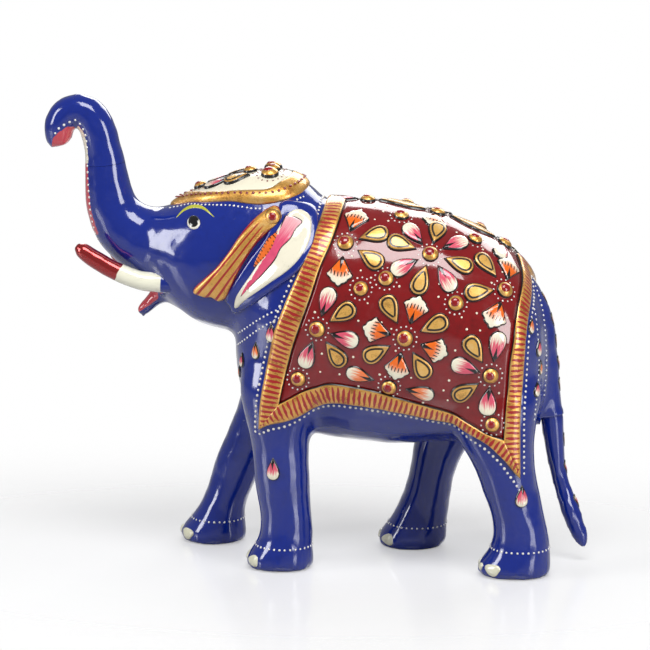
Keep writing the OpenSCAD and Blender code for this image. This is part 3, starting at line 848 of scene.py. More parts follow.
def flattenStub(mesh):
    # the tail's root ends in the flat face its lower part is glued to
    point, normal = jointPlane("tail")
    for v in mesh.vertices:
        past = (v.co - point).dot(normal) + joints["gap"]
        if past > 0 and (v.co - point).length < joints["stubReach"] and v.co.x > joints["stubFrom"]:
            v.co -= normal * past


def cutPart(label, mesh, key, outward, replaced):
    # outward is 1 for the piece before the joint and -1 for the piece after it
    point, normal = jointPlane(key)
    bm = bmesh.new()
    bm.from_mesh(mesh)
    bmesh.ops.bisect_plane(bm, geom=bm.verts[:] + bm.edges[:] + bm.faces[:],
                           plane_co=point - normal * joints["gap"] * outward, plane_no=normal)
    limit = joints["gap"] - 1e-3
    gone = [v for v in bm.verts if (v.co - point).dot(normal) * outward > -limit]
    bmesh.ops.delete(bm, geom=gone, context="VERTS")
    rim = [e for e in bm.edges if len(e.link_faces) == 1]
    bmesh.ops.holes_fill(bm, edges=rim, sides=0)
    for e in rim:
        e.smooth = False
    bmesh.ops.recalc_face_normals(bm, faces=bm.faces)
    for v in bm.verts:
        v.co *= mm
    made = bpy.data.meshes.new(label)
    bm.to_mesh(made)
    bm.free()
    return finishPiece(newObject(label, made), finish["blue"], replaced)


paintBody(bodyMesh)
flattenStub(bodyMesh)
elephant = cutPart("elephantBody", bodyMesh, "trunk", 1, ["body_block"])
trunkUpper = cutPart("trunkUpper", bodyMesh, "trunk", -1, ["trunk_upper"])
tailPiece = cutPart("tailPiece", tailMesh, "tail", -1, ["tail"])
print("body cut at its joints:", len(elephant.data.polygons), len(trunkUpper.data.polygons),
      len(tailPiece.data.polygons))

saddle = {
    # x and turn up from the horizontal, near side, from the ridge down
    "frontOuter": [[3, 90], [2.5, 75], [0.5, 62.5], [-2, 51], [-5.5, 39], [-8, 29.5], [-11, 14], [-12.7, -3],
                   [-14, -18], [-15.5, -34], [-16, -46.5]],
    "frontInner": [[9.5, 90], [9, 75], [7, 60.5], [3.5, 47], [1, 34], [-2, 19], [-4, 8], [-5.5, -3], [-7.2, -17],
                   [-9, -31.5]],
    "rearOuter": [[66, 90], [67.4, 82], [68, 65], [68, 45.5], [67.5, 26], [67, 0], [66.6, -24], [66.2, -40],
                  [66.4, -57]],
    "rearInner": [[62.5, 90], [64, 80], [65, 66], [65, 51], [64, 29], [63.5, 12.5], [62.5, -4], [62, -22],
                  [61.4, -35], [61, -43.5]],
    "bottomOuter": [[-16, -46.5], [-12.5, -42.8], [-7, -41.2], [-2, -40], [2, -38], [5.5, -35], [10.5, -33.8],
                    [19, -34.6], [29.5, -38.2], [40, -43], [47.5, -44.6], [53, -45], [57, -46.5], [61, -50],
                    [66.4, -57]],
    "bottomInner": [[-9, -31.5], [-4, -27.5], [2.5, -22.2], [6, -19.4], [11, -19.4], [19.5, -21.6], [30, -27],
                    [40, -33], [47.5, -38.2], [54, -41], [61, -43.5]],
    "high": 1.15,
    "field": 0.5,
    "turnScale": 0.55,
}


def overTheBack(points):
    p = catmull(points, 6)
    return [[x, t] for x, t in p[::-1]] + [[x, 180 - t] for x, t in p[1:]]


def saddleLine(key, count, both=True):
    points = overTheBack(saddle[key]) if both else catmull(saddle[key], 6)
    return spread(points, count, (1, saddle["turnScale"]))


# across the band, height
bandProfile = [(s, h * saddle["high"]) for s, h in (
    (0, -0.1), (0.03, 0.55), (0.09, 0.95), (0.2, 1.12), (0.5, 1.2), (0.8, 1.12), (0.92, 0.98), (0.97, 0.7),
    (1, 0.2))]
band = newSheet()
for end in ("front", "rear"):
    addBand(band, saddleLine(end + "Outer", 220), saddleLine(end + "Inner", 220), fromAxis, bandProfile)
for side in (near, far):
    addBand(band, saddleLine("bottomOuter", 110, False), saddleLine("bottomInner", 110, False),
            lambda x, t: fromAxis(x, t, side), bandProfile)
pieceFrom("saddleBorder", band, finish["band"], ["saddle_border"])


def saddleField():
    rows, columns = 150, 64
    front, rear = saddleLine("frontInner", rows), saddleLine("rearInner", rows)
    low = saddleLine("bottomInner", columns, False)
    high = np.array([[x, 180 - t] for x, t in low])
    top, under = [], []
    for i in range(rows):
        v = i / (rows - 1)
        top.append([])
        under.append([])
        for j in range(columns):
            u = j / (columns - 1)
            corners = (low[0] * (1 - u) + low[-1] * u) * (1 - v) + (high[0] * (1 - u) + high[-1] * u) * v
            spot = front[i] * (1 - u) + rear[i] * u + low[j] * (1 - v) + high[j] * v - corners
            p, n = fromAxis(*spot)
            top[-1].append(p + n * saddle["field"])
            under[-1].append(p - n * 0.4)
    sheet = newSheet()
    addGrid(sheet, top, under, lambda i, j: (i / rows, j / columns, 0.0))
    return pieceFrom("saddleCloth", sheet, finish["red"], ["saddle_cloth"])


saddleField()
print("saddle laid")

flowers = {
    # x, turn, then petals: kind, angle, distance of the middle
    "heart": [(11, 59, [("fan", 74, 8.9), ("gold", 18, 9), ("gold", -31, 9.3), ("fan", -97, 8.9)]),
              (37.5, 56, [("gold", 163, 9.3), ("pink", 129, 8.6), ("gold", 80, 8.6), ("pink", 34, 8.8),
                          ("gold", -13, 9.1), ("pink", -54, 8.9), ("gold", -105, 8.4), ("pink", -150, 8.7)]),
              (3, 16.5, [("pink", 72, 8.8), ("gold", 33, 9.2), ("pink", -16, 8.9), ("gold", -54, 9.4),
                         ("pink", -110, 8.8)]),
              (30.5, 12, [("gold", 117, 9.8), ("fan", 71, 9.2), ("gold", 25, 9.8), ("fan", -20, 9.6),
                          ("gold", -60, 9.6), ("fan", -104, 9), ("gold", -152, 9.8), ("fan", 166, 9)]),
              (60.5, 45, [("gold", 131, 9.4), ("gold", 195, 8.2), ("fan", 80, 8.3), ("fan", -104, 8.5)]),
              (57, -11, [("pink", 78, 9), ("gold", 120, 9.6), ("pink", 160, 8), ("gold", -146, 9),
                         ("pink", -95, 8.3)])],
    "single": [(16.5, 38), (24.2, 42.8), (46, 32.5), (-3.3, -18), (25.5, -19), (57.8, -38), (50.5, 73), (27.5, 76)],
    "ridge": [(16, 90, [("pink", 180, 7.5), ("gold", 0, 8)]),
              (38, 90, [("gold", 180, 8.5), ("gold", 0, 8.5), ("fan", 90, 8.2), ("fan", -90, 8.2)]),
              (59, 90, [("gold", 180, 8), ("pink", 90, 7.6), ("pink", -90, 7.6)])],
    "lone": [(25.5, -17.5, "drop", 164, 9.3), (25.5, -17.5, "drop", -14, 9.8)],
    "petals": {"gold": (10.2, 6.9, 1.1), "pink": (10, 6.4, 1.05), "drop": (9.8, 5.8, 0.9), "fan": (9.8, 8.6, 0.95)},
    "bossRadius": 2.65,
    "stoneRadius": 1.55,
}


def dropOutline(long, wide, start):
    out = []
    for k in range(26):
        t = 2 * math.pi * k / 26
        out.append((start + long * (1 - math.cos(t)) / 2, wide * 0.62 * math.sin(t) * math.sin(t / 2) ** 1.3))
    return out


def fanOutline(long, wide, start):
    half = [(0, 0), (0.16, 0.13), (0.34, 0.27), (0.52, 0.42), (0.6, 0.5), (0.7, 0.46), (0.77, 0.34), (0.82, 0.33),
            (0.88, 0.24), (0.91, 0.13), (0.96, 0.1), (1, 0)]
    loop = half + [(p, -q) for p, q in half[-2:0:-1]]
    return [(start + p * long, q * wide) for p, q in loop]


def addPetal(sheet, spot, kind, turn, reach, side, lift=0.35, size=1.0):
    long, wide, high = flowers["petals"][kind]
    long, wide = long * size, wide * size
    start = reach - long / 2
    outline = (fanOutline if kind == "fan" else dropOutline)(long, wide, start)
    f = tangentFrame(spot, turn, side)
    addRelief(sheet, outline, onFrame(f), high, edge=1.0, lift=lift, spacing=0.95, steps=(0.14, 0.32, 0.7),
              chart=lambda a, b: ((a - start) / long, b / (wide / 2)))


petals = {key: newSheet() for key in ("gold", "pink", "drop", "fan")}
bosses, stones, pearls, redDots = [], [], [], []


def addBoss(spot, side, size=1.0, lift=0.45, store=pearls):
    p, n = spot
    r = flowers["bossRadius"] * size
    bosses.append((p + n * lift, n, r))
    _, _, u, v = tangentFrame(spot, 0, side)
    stones.append((p + n * (lift + r * 0.5) - u * 0.25 * size + v * 0.15 * size, n, flowers["stoneRadius"] * size))
    place = onFrame((p, n, u, v))
    for k in range(14):
        a = 2 * math.pi * (k + 0.3) / 14
        q, m = place(math.cos(a) * (r + 1), math.sin(a) * (r + 1))
        store.append((q + m * (lift + 0.02), m, 0.3))


for side in (near, far):
    for x, turn, leaves in flowers["heart"]:
        spot = fromAxis(x, turn, side)
        addBoss(spot, side)
        for kind, angle, reach in leaves:
            addPetal(petals[kind], spot, kind, angle, reach, side)
    for x, turn in flowers["single"]:
        addBoss(fromAxis(x, turn, side), side, 0.94)
    for x, turn, kind, angle, reach in flowers["lone"]:
        addPetal(petals[kind], fromAxis(x, turn, side), kind, angle, reach, side)
for x, turn, leaves in flowers["ridge"]:
    spot = fromAxis(x, turn)
    addBoss(spot, near)
    for kind, angle, reach in leaves:
        addPetal(petals[kind], spot, kind, angle, reach, near)
print("flowers set")

head = {
    "outer": [[-47, 90], [-45.5, 82], [-41.5, 72], [-36, 61], [-31, 56.5], [-25.5, 54], [-20.5, 51], [-16, 50],
              [-11.5, 52], [-7.5, 57], [-4.5, 66], [-3, 78], [-2.5, 90]],
    "inner": [[-40, 90], [-38.5, 80], [-34.5, 69], [-30, 64], [-26, 62], [-19.5, 61], [-14.5, 61.5], [-11.5, 68],
              [-9, 79], [-8.5, 90]],
    "thick": 1.9,
    "axis": 100,
    "turnScale": 0.38,
    "bosses": [(-14.5, 79, 1.1), (-21, 90, 0.9), (-14, 90, 0.9), (-36.5, 90, 0.85)],
    "petals": [("pink", -31, 79, 180), ("gold", -24.5, 77, 190)],
    "pearls": [[-46.5, 72], [-41, 66], [-36, 57], [-31, 52.5], [-25.5, 50], [-19, 46.5], [-14, 46], [-10, 48.5],
               [-6, 55], [-3.5, 64]],
}


def onHead(x, turn, side=near):
    return fromAxis(x, turn, side, head["axis"])


def roundTheHead(key, count):
    p = catmull(head[key], 6)
    loop = [[x, t] for x, t in p] + [[x, 180 - t] for x, t in p[-2::-1]]
    return spread(loop, count + 1, (1, head["turnScale"]))[:-1]


rimProfile = [(s, head["thick"] * math.sqrt(1 - (1 - s) ** 2.2))
              for s in (0.0, 0.03, 0.1, 0.22, 0.4, 0.6, 0.8, 0.94)]
rimProfile += [(0.97, head["thick"] - 0.12), (1, head["thick"] - 0.3)]
rimSheet = newSheet()
addBand(rimSheet, roundTheHead("outer", 260), roundTheHead("inner", 260), onHead, rimProfile, closed=True)
pieceFrom("headClothRim", rimSheet, finish["rim"], ["head_rim"])

clothSheet = newSheet()
turnScale = head["turnScale"]
addRelief(clothSheet, [(x, t * turnScale) for x, t in roundTheHead("inner", 120)],
          lambda a, b: onHead(a, b / turnScale), 0.25, edge=0.8, lift=head["thick"] - 0.3, spacing=1.1)
pieceFrom("headCloth", clothSheet, finish["cloth"], ["head_cloth"])


def dotRow(line, place, spacing, size, store, lift=0.05, ends=True):
    fine = spread(line, max(8, len(line) * 30))
    spots = [place(*p) for p in fine]
    run = [0.0]
    for (a, _), (b, _) in zip(spots, spots[1:]):
        run.append(run[-1] + (a - b).length)
    count = max(2, round(run[-1] / spacing))
    for i in range(count + (1 if ends else 0)):
        p, n = spots[int(np.argmin(np.abs(np.array(run) - run[-1] * i / count)))]
        jitter = 1 + 0.16 * noise.noise(p * 3.1)
        store.append((p + n * lift, n, size * jitter))


for side in (near, far):
    flip = (lambda t: t) if side == near else (lambda t: 180 - t)
    dotRow([[x, flip(t)] for x, t in head["pearls"]], onHead, 1.4, 0.36, pearls)
    line = [[a[0] * 0.62 + b[0] * 0.38, flip(a[1] * 0.3 + b[1] * 0.7)] for a, b in
            zip(spread(catmull(head["outer"], 6), 40), spread(catmull(head["inner"], 6), 40))]
    dotRow(line, onHead, 2.0, 0.5, redDots, lift=head["thick"] * 0.97)
    for x, t, size in head["bosses"]:
        if t < 90 or side == near:
            addBoss(onHead(x, t, side), side, size, head["thick"], redDots)
    for kind, x, t, angle in head["petals"]:
        addPetal(petals[kind], onHead(x, t, side), kind, angle, 0, side, head["thick"] - 0.1, 0.85)
    # pearls round the saddle, on the blue
    for key, push in (("frontOuter", (-1.2, 0)), ("bottomOuter", (0, -2.2)), ("rearOuter", (1.2, 0))):
        line = catmull(saddle[key], 6) + np.array(push)
        if key == "bottomOuter":
            line = np.array([[x + (-1.2 if i == 0 else 0), t] for i, (x, t) in enumerate(line)])
        dotRow(line, lambda x, t: fromAxis(x, t, side), 1.75, 0.45, pearls)
print("head cloth laid")

# loose cream dots between the flowers
loose = {"seed": 5, "tries": 2600, "fromPetal": 2.1, "fromBoss": 4.6, "apart": 3.6, "edge": 2.0, "radius": 0.32}
rng = random.Random(loose["seed"])
busy = [p for p, n, r in bosses]
cloudPoints = np.array([tuple(p) for key in petals for p in petals[key]["verts"][::7]] + [tuple(p) for p in busy])
frontLine, rearLine = [spread(catmull(saddle[key], 4), 41) for key in ("frontInner", "rearInner")]
specks = []
for side in (near, far):
    placed = []
    for attempt in range(loose["tries"]):
        u, v = rng.random(), rng.random()
        f, r = frontLine[int(v * 40)], rearLine[int(v * 40)]
        p, n = fromAxis(*(f * (1 - u) + r * u), side)
        edge = loose["edge"] / max(1.0, abs(r[0] - f[0]))
        if not edge < u < 1 - edge or v > 0.95:
            continue
        if np.linalg.norm(cloudPoints - np.array(p), axis=1).min() < loose["fromPetal"]:
            continue
        if any((p - b).length < loose["fromBoss"] for b in busy):
            continue
        if any((p - q).length < loose["apart"] for q in placed):
            continue
        placed.append(p)
        specks.append((p + n * (saddle["field"] + 0.03), n, loose["radius"] + 0.12 * rng.random()))
print("loose dots:", len(specks))

face = {
    "fan": [[-14.5, 115.5], [-18.5, 112.3], [-22.5, 107.6], [-26, 102.3], [-30, 97.2], [-34, 93.4], [-37, 90.4],
            [-37.3, 88.8], [-35.5, 88], [-33.4, 87.4], [-31.6, 87.6], [-29.4, 86.3], [-27, 87.4], [-25.2, 91],
            [-22.5, 96.6], [-18, 104], [-14, 108.3], [-10.2, 111.2], [-9, 113.5], [-10.5, 116], [-12.5, 116.5]],
    "fanBoss": (-12.2, 113.2),
    "fanLine": [[-11.5, 114], [-16.5, 109], [-22, 102], [-27, 95.5], [-32.5, 88.5]],
    "fanWidth": [2.6, 3.2, 4, 4.6, 5.6],
    "panel": [[-8.2, 113.6], [-5, 115.4], [-1.4, 113.6], [0, 110.4], [-0.6, 105.2], [-5, 99], [-12.5, 93.2],
              [-20, 87.4], [-24, 84], [-23.8, 87.8], [-21.5, 91.6], [-18, 96.6], [-15, 102], [-11, 109]],
    "blade": [[-10.4, 117.2], [-5, 117.6], [0.2, 115.6], [2, 110.8], [1.2, 104.4], [-3.6, 97.4], [-11.6, 91.2],
              [-19.2, 85.4], [-24.6, 81.8], [-26, 84.4], [-27.5, 87.6], [-24, 93.5], [-19.5, 100.5],
              [-14.4, 107.5]],
    "vein": [[-8.4, 113.6], [-5.8, 113.4], [-3, 111.6], [-4.8, 109.6], [-6.2, 106.6], [-8.8, 104], [-10.4, 100.6],
             [-13, 97.4], [-15.4, 94.6], [-18.6, 91.4], [-22.2, 87.8], [-20.6, 92], [-17.8, 95.8], [-15.4, 99.8],
             [-13.2, 103.2], [-11.6, 107], [-9.8, 110.4]],
    "leaf": [[-10.4, 109.4], [-11.2, 105.6], [-13.6, 101.4], [-17.6, 98], [-17, 100.6], [-15.4, 103.8],
             [-13.2, 107.2]],
    "eye": (-37.6, 110.6, 2.1, 2.0),
    "brow": [[-43.6, 111.4], [-41.4, 113.6], [-38.2, 114.9], [-34.6, 114.7], [-31, 112.6]],
    "bladeHigh": 1.5,
    "panelHigh": 0.8,
    "fanHigh": 1.9,
}


def flankPlace(side):
    def place(x, z):
        p, n = fromSide(x, z, side)
        return p, (n * 0.5 + Vector((0, side, 0)) * 0.5).normalized()
    return place


def softLoop(points, count, steps=5):
    p = np.array(points, float)
    closed = catmull(np.concatenate([p[-2:], p, p[:2]]), steps)[2 * steps:-2 * steps]
    return spread(np.concatenate([closed, closed[:1]]), count + 1)[:-1]


def alongLine(line, widths):
    fine = spread(catmull(line, 10), 120)
    wide = np.interp(np.linspace(0, 1, 120), np.linspace(0, 1, len(widths)), widths)
    step = np.gradient(fine, axis=0)
    step /= np.linalg.norm(step, axis=1)[:, None]
    run = np.r_[0, np.cumsum(np.linalg.norm(np.diff(fine, axis=0), axis=1))]

    def chart(x, z):
        d = np.array([x, z]) - fine
        i = int(np.argmin((d * d).sum(1)))
        return float(run[i] / run[-1]), float((step[i][0] * d[i][1] - step[i][1] * d[i][0]) / wide[i])
    return chart


fanChart = alongLine(face["fanLine"], face["fanWidth"])


def fanRibs(x, z, d):
    along, across = fanChart(x, z)
    fold = abs((across * 2.0) % 1.0 - 0.5)  # 0.5 in the grooves
    return -0.35 * max(0, (fold - 0.3) / 0.2) * min(1, d / 0.6) * min(1, max(0, (along - 0.1) / 0.1))


def buildEar(side, tag):
    place = flankPlace(side)
    sheet = newSheet()
    addRelief(sheet, softLoop(face["blade"], 70), place, face["bladeHigh"], edge=1.8, spacing=1.1,
              steps=(0.15, 0.45, 0.9, 1.5))
    pieceFrom("earBlade" + tag, sheet, finish["blue"], ["ear_" + tag.lower()])
    sheet = newSheet()
    addRelief(sheet, softLoop(face["panel"], 70), place, face["panelHigh"], edge=1.0, lift=face["bladeHigh"] - 0.2,
              spacing=1.0, shape=lambda x, z, d: -0.35 * min(1, max(0, d - 0.8) / 2.5))
    pieceFrom("earPanel" + tag, sheet, finish["panel"], ["ear_panel_" + tag.lower()])
    veinChart = alongLine([[-4.5, 112.5], [-10, 104], [-15, 97], [-22.2, 87.8]], [2, 2.4, 1.6, 0.6])
    sheet = newSheet()
    addRelief(sheet, softLoop(face["vein"], 90), place, 0.3, edge=0.5, lift=face["bladeHigh"] + 0.25, spacing=0.8,
              chart=veinChart)
    pieceFrom("earVein" + tag, sheet, finish["vein"])
    sheet = newSheet()
    addRelief(sheet, softLoop(face["leaf"], 40), place, 0.35, edge=0.5, lift=face["bladeHigh"] + 0.25, spacing=0.7,
              chart=lambda x, z: ((x + z) * 0.7, 0.0))
    pieceFrom("earLeaf" + tag, sheet, finish["leaf"])
    sheet = newSheet()
    addRelief(sheet, softLoop(face["fan"], 110), place, face["fanHigh"], edge=1.6, lift=0.2, spacing=0.6,
              steps=(0.12, 0.35, 0.7, 1.2), shape=fanRibs, chart=fanChart)
    pieceFrom("earFan" + tag, sheet, finish["fan"], ["ear_fan_" + tag.lower()])
    p, n = place(*face["fanBoss"])
    bosses.append((p + n * 1.7, n, 2.5))
    stones.append((p + n * 3, n, 1.35))


buildEar(near, "Left")
buildEar(far, "Right")

eyes, brows = newSheet(), newSheet()
for side in (near, far):
    place = flankPlace(side)
    x, z, rx, rz = face["eye"]
    ring = [(x + (rx + 0.1) * math.cos(a), z + rz * math.sin(a)) for a in np.linspace(0, 2 * math.pi, 29)[:-1]]
    addRelief(eyes, ring, place, 0.7, edge=1.8, spacing=0.45, steps=(0.12, 0.3, 0.6, 1.0),
              chart=lambda a, b: ((a - x) / rx * 1.8, (b - z) / rz * 1.8))
    line = spread(catmull(face["brow"], 8), 24)
    step = np.gradient(line, axis=0)
    step /= np.linalg.norm(step, axis=1)[:, None]
    out = np.stack([-step[:, 1], step[:, 0]], 1)
    thick = 0.4 * np.sin(np.linspace(0.12, math.pi - 0.05, 24))[:, None] + 0.06
    loop = np.concatenate([line + out * thick, (line - out * thick)[::-1]])
    addRelief(brows, loop, place, 0.18, edge=0.3, spacing=0.5, steps=(0.1, 0.25))
pieceFrom("eyePair", eyes, finish["eye"], ["eyes"])
pieceFrom("browPair", brows, finish["brow"])

feet = {
    # leg, turns of its nails round the foot, sizes
    "nails": [(0, [(36, 1.15), (-10, 0.9)]), (2, [(50, 1.2), (18, 0.75), (-12, 0.8)])],
    "farNails": [(1, [(38, 1.15), (-8, 0.9)]), (3, [(42, 1.15), (-4, 0.9)])],
    "ankle": [(0, 7.6), (1, 7.8), (2, 9), (3, 7.6)],
    "nailHeight": 3.2,
    "high": 0.6,
}
nailSheet = newSheet()


def onLeg(leg, turn, z):
    table = np.array(body["legs"][leg])
    x, y = np.interp(z, table[:, 0], table[:, 1]), np.interp(z, table[:, 0], table[:, 2])
    a = math.radians(180 + turn)
    out = Vector((math.cos(a), math.sin(a), 0))
    return landed(Vector((x, y, z)) + out * 15, -out)


for leg, nails in feet["nails"] + feet["farNails"]:
    for turn, size in nails:
        p, n = onLeg(leg, turn, feet["nailHeight"])
        u = Vector((0, 0, 1)).cross(n).normalized()
        v = n.cross(u)
        ring = []
        for a in np.linspace(0, 2 * math.pi, 25)[:-1]:
            r = 1.0 + 0.12 * math.sin(3 * a + turn)
            ring.append((2.4 * size * r * math.cos(a), 1.6 * size * r * math.sin(a)))
        addRelief(nailSheet, ring, onFrame((p, n, u, v)), feet["high"], edge=1.6, spacing=0.6,
                  steps=(0.12, 0.35, 0.8))
for i, p in enumerate(nailSheet["verts"]):
    p.z = max(p.z, 0.05)
pieceFrom("toenailSet", nailSheet, finish["nail"], ["toenails"])

rows = {
    # petals on the near legs, and where the far legs have theirs
    "onLegs": {-11.5: (-25, 34), 67: (36.5, 27.6)},
    "tail": [(86, "drop"), (79, "pink"), (72, "drop"), (65, "pink"), (58, "pink"), (40, "drop"), (31, "pink"),
             (20, "pink")],
    # x and z on the flank
    "neck": [[[-7.5, 86.6], [-12.5, 84], [-17.5, 80.6], [-23.5, 75.5]], [[-8, 83.6], [-12.5, 81], [-17.5, 77.4],
             [-24, 71.5]]],
    "rump": [[[69.4, 90], [71, 86], [72.4, 80], [73.2, 72], [73.4, 64], [72.8, 56]],
             [[69.2, 86], [70.2, 82], [71, 76], [71.4, 69], [71.2, 60], [70.4, 51]]],
    "trunk": [[-82.9, 136.6], [-81.5, 138.4], [-79.9, 139.4], [-78.4, 140.2], [-77.3, 140.8], [-76, 140.8],
              [-74.9, 139.6], [-73.9, 137.8], [-73.1, 135.6], [-72.9, 131.7], [-72.9, 127.3], [-72.6, 121],
              [-72.3, 116.3], [-71.9, 111.2], [-71.2, 107], [-70.2, 103.4], [-68.6, 101]],
    "petals": [("pink", -12, 78, -92, 0.66), ("drop", -17.2, 71.6, -92, 0.64), ("pink", -22, 67.4, -96, 0.55),
               ("drop", -23.2, 63, -96, 0.5), ("pink", -11.5, 34, -90, 0.78), ("pink", 67, 27.5, -90, 0.76),
               ("drop", 69, 80.5, -92, 0.62), ("pink", 71.2, 73, -92, 0.6), ("drop", 71.8, 66.5, -96, 0.55),
               ("pink", 71, 60.5, -98, 0.55)],
}
for side in (near, far):
    place = lambda x, z: fromSide(x, z, side)
    for line in rows["neck"] + rows["rump"]:
        dotRow(catmull(line, 6), place, 1.6, 0.36, pearls)
    for kind, x, z, angle, size in rows["petals"]:
        if side == far and x in rows["onLegs"]:
            x, z = rows["onLegs"][x]
        addPetal(petals[kind], place(x, z), kind, angle, 0, side, -0.25, size)
for side in (near, far):
    dotRow(catmull(rows["trunk"], 6), lambda x, z: fromSide(x, z, side), 2.0, 0.42, pearls)
for leg, z in feet["ankle"]:
    dotRow([[t, z] for t in range(0, 361, 30)], lambda t, h: onLeg(leg, t, h), 1.75, 0.36, pearls, ends=False)
# small petals down the back edge of the tail
for z, kind in rows["tail"]:
    p, n = landed(Vector((120, 0, z)), Vector((-1, 0, 0)))
    u = Vector((0, 0, 1))
    u = (u - n * u.dot(n)).normalized()
    long, wide, high = (s * 0.5 for s in flowers["petals"][kind])
    addRelief(petals[kind], dropOutline(long, wide, -long / 2), onFrame((p, n, u, n.cross(u))), high * 0.5,
              edge=0.8, lift=0, spacing=0.7, chart=lambda a, b: (a / long + 0.5, b / (wide / 2)))

pieceFrom("petalsGold", petals["gold"], finish["goldPetal"], ["petals_gold"])
pieceFrom("petalsPink", petals["pink"], finish["pinkPetal"], ["petals_pink"])
pieceFrom("petalsOrange", petals["fan"], finish["orangeFan"], ["petals_orange"])
pieceFrom("dropsOrange", petals["drop"], finish["orangeDrop"])

tusks = {
    "line": [[-43, 90, 3.2, 3.2], [-52, 90.5, 3.1, 3.1], [-57, 91.4, 3, 3], [-64, 94.2, 2.9, 2.9],
             [-70, 97.6, 2.8, 2.8], [-73.6, 100.1, 2.5, 2.5], [-75, 101.1, 1.6, 1.6]],
    "farLine": [[-43, 90.2, 3.1, 3.1], [-52, 90.9, 2.9, 2.9], [-56, 91.4, 2.75, 2.75], [-62, 93.2, 2.6, 2.6],
                [-66, 95, 2.2, 2.2], [-67.4, 95.6, 1.4, 1.4]],
    "across": 10.5,
    "sides": 24,
}


def buildTusk(side, tag):
    line, y, sides = tusks["line" if side == near else "farLine"], side * tusks["across"], tusks["sides"]
    middle = [Vector((x, y, z)) for x, z, r, w in catmull(line, 8)]
    sheet = newSheet()
    run = 0.0
    loops = []
    for i, ring in enumerate(tubeRings(line, y, sides, 8)):
        if i:
            run += (middle[i] - middle[i - 1]).length
        row = []
        for q in ring:
            q = Vector(q)
            wobble = 1 + 0.035 * noise.noise(q / 4)
            row.append(addVert(sheet, middle[i] + (q - middle[i]) * wobble, run))
        loops.append(row)
    tip, forward = loops[-1], Vector((-0.82, 0, 0.57))
    centre = sum((sheet["verts"][i] for i in tip), Vector()) / sides
    for scale, push in ((0.72, 0.55), (0.38, 0.85)):
        loops.append([addVert(sheet, centre + (sheet["verts"][i] - centre) * scale + forward * push, run) for i in tip])
    for a, b in zip(loops, loops[1:]):
        for j in range(sides):
            k = (j + 1) % sides
            sheet["faces"].append([a[j], a[k], b[k], b[j]])
    sheet["faces"] += [loops[0][::-1], loops[-1]]
    return pieceFrom("tusk" + tag, sheet, finish["tusk"], ["tusk_" + tag.lower()])


buildTusk(near, "Left")
buildTusk(far, "Right")
print("face, ears, tusks and feet done")


def domeTree():
    tree = bpy.data.node_groups.new("paintedDomes", "GeometryNodeTree")
    side = tree.interface
    side.new_socket("Geometry", in_out="INPUT", socket_type="NodeSocketGeometry")
    for label, kind, value in (("Size", "NodeSocketFloat", 1.0), ("Height", "NodeSocketFloat", 0.6),
                               ("Segments", "NodeSocketInt", 8), ("Rings", "NodeSocketInt", 6),
                               ("Wobble", "NodeSocketFloat", 0.1), ("Seed", "NodeSocketInt", 3),
                               ("Coating", "NodeSocketMaterial", None)):
        s = side.new_socket(label, in_out="INPUT", socket_type=kind)
        if value is not None:
            s.default_value = value
    side.new_socket("Geometry", in_out="OUTPUT", socket_type="NodeSocketGeometry")
    i = tree.nodes.new("NodeGroupInput").outputs
    dome = node(tree, "GeometryNodeMeshUVSphere", {"Segments": i["Segments"], "Rings": i["Rings"], "Radius": 1.0})
    rise = node(tree, "ShaderNodeSeparateXYZ", {0: node(tree, "GeometryNodeInputPosition").outputs[0]}).outputs["Z"]
    marked = node(tree, "GeometryNodeStoreNamedAttribute", {"Geometry": dome.outputs[0], "Name": "rise",
                                                            "Value": rise}, data_type="FLOAT", domain="POINT")
    flat = node(tree, "ShaderNodeCombineXYZ", {"X": 1.0, "Y": 1.0, "Z": i["Height"]})
    pressed = node(tree, "GeometryNodeTransform", {"Geometry": marked.outputs[0], "Scale": flat.outputs[0]})
    facing = node(tree, "GeometryNodeInputNamedAttribute", {"Name": "facing"}, data_type="FLOAT_VECTOR")
    radius = node(tree, "GeometryNodeInputNamedAttribute", {"Name": "domeRadius"}, data_type="FLOAT")
    turn = node(tree, "FunctionNodeAlignRotationToVector", {"Vector": facing.outputs[0]}, axis="Z")
    low = node(tree, "ShaderNodeMath", {0: 1.0, 1: i["Wobble"]}, operation="SUBTRACT")
    high = node(tree, "ShaderNodeMath", {0: 1.0, 1: i["Wobble"]}, operation="ADD")
    uneven = node(tree, "FunctionNodeRandomValue", {2: low.outputs[0], 3: high.outputs[0], "Seed": i["Seed"]},
                  data_type="FLOAT")
    scale = node(tree, "ShaderNodeMath", {0: radius.outputs[0], 1: i["Size"]}, operation="MULTIPLY")
    scale = node(tree, "ShaderNodeMath", {0: scale.outputs[0], 1: uneven.outputs[1]}, operation="MULTIPLY")
    points = node(tree, "GeometryNodeMeshToPoints", {"Mesh": i["Geometry"]})
    dots = node(tree, "GeometryNodeInstanceOnPoints", {"Points": points.outputs[0], "Instance": pressed.outputs[0],
                                                       "Rotation": turn.outputs[0], "Scale": scale.outputs[0]})
    real = node(tree, "GeometryNodeRealizeInstances", {"Geometry": dots.outputs[0]})
    coated = node(tree, "GeometryNodeSetMaterial", {"Geometry": real.outputs[0], "Material": i["Coating"]})
    tree.links.new(coated.outputs[0], tree.nodes.new("NodeGroupOutput").inputs[0])
    return tree


domes = domeTree()


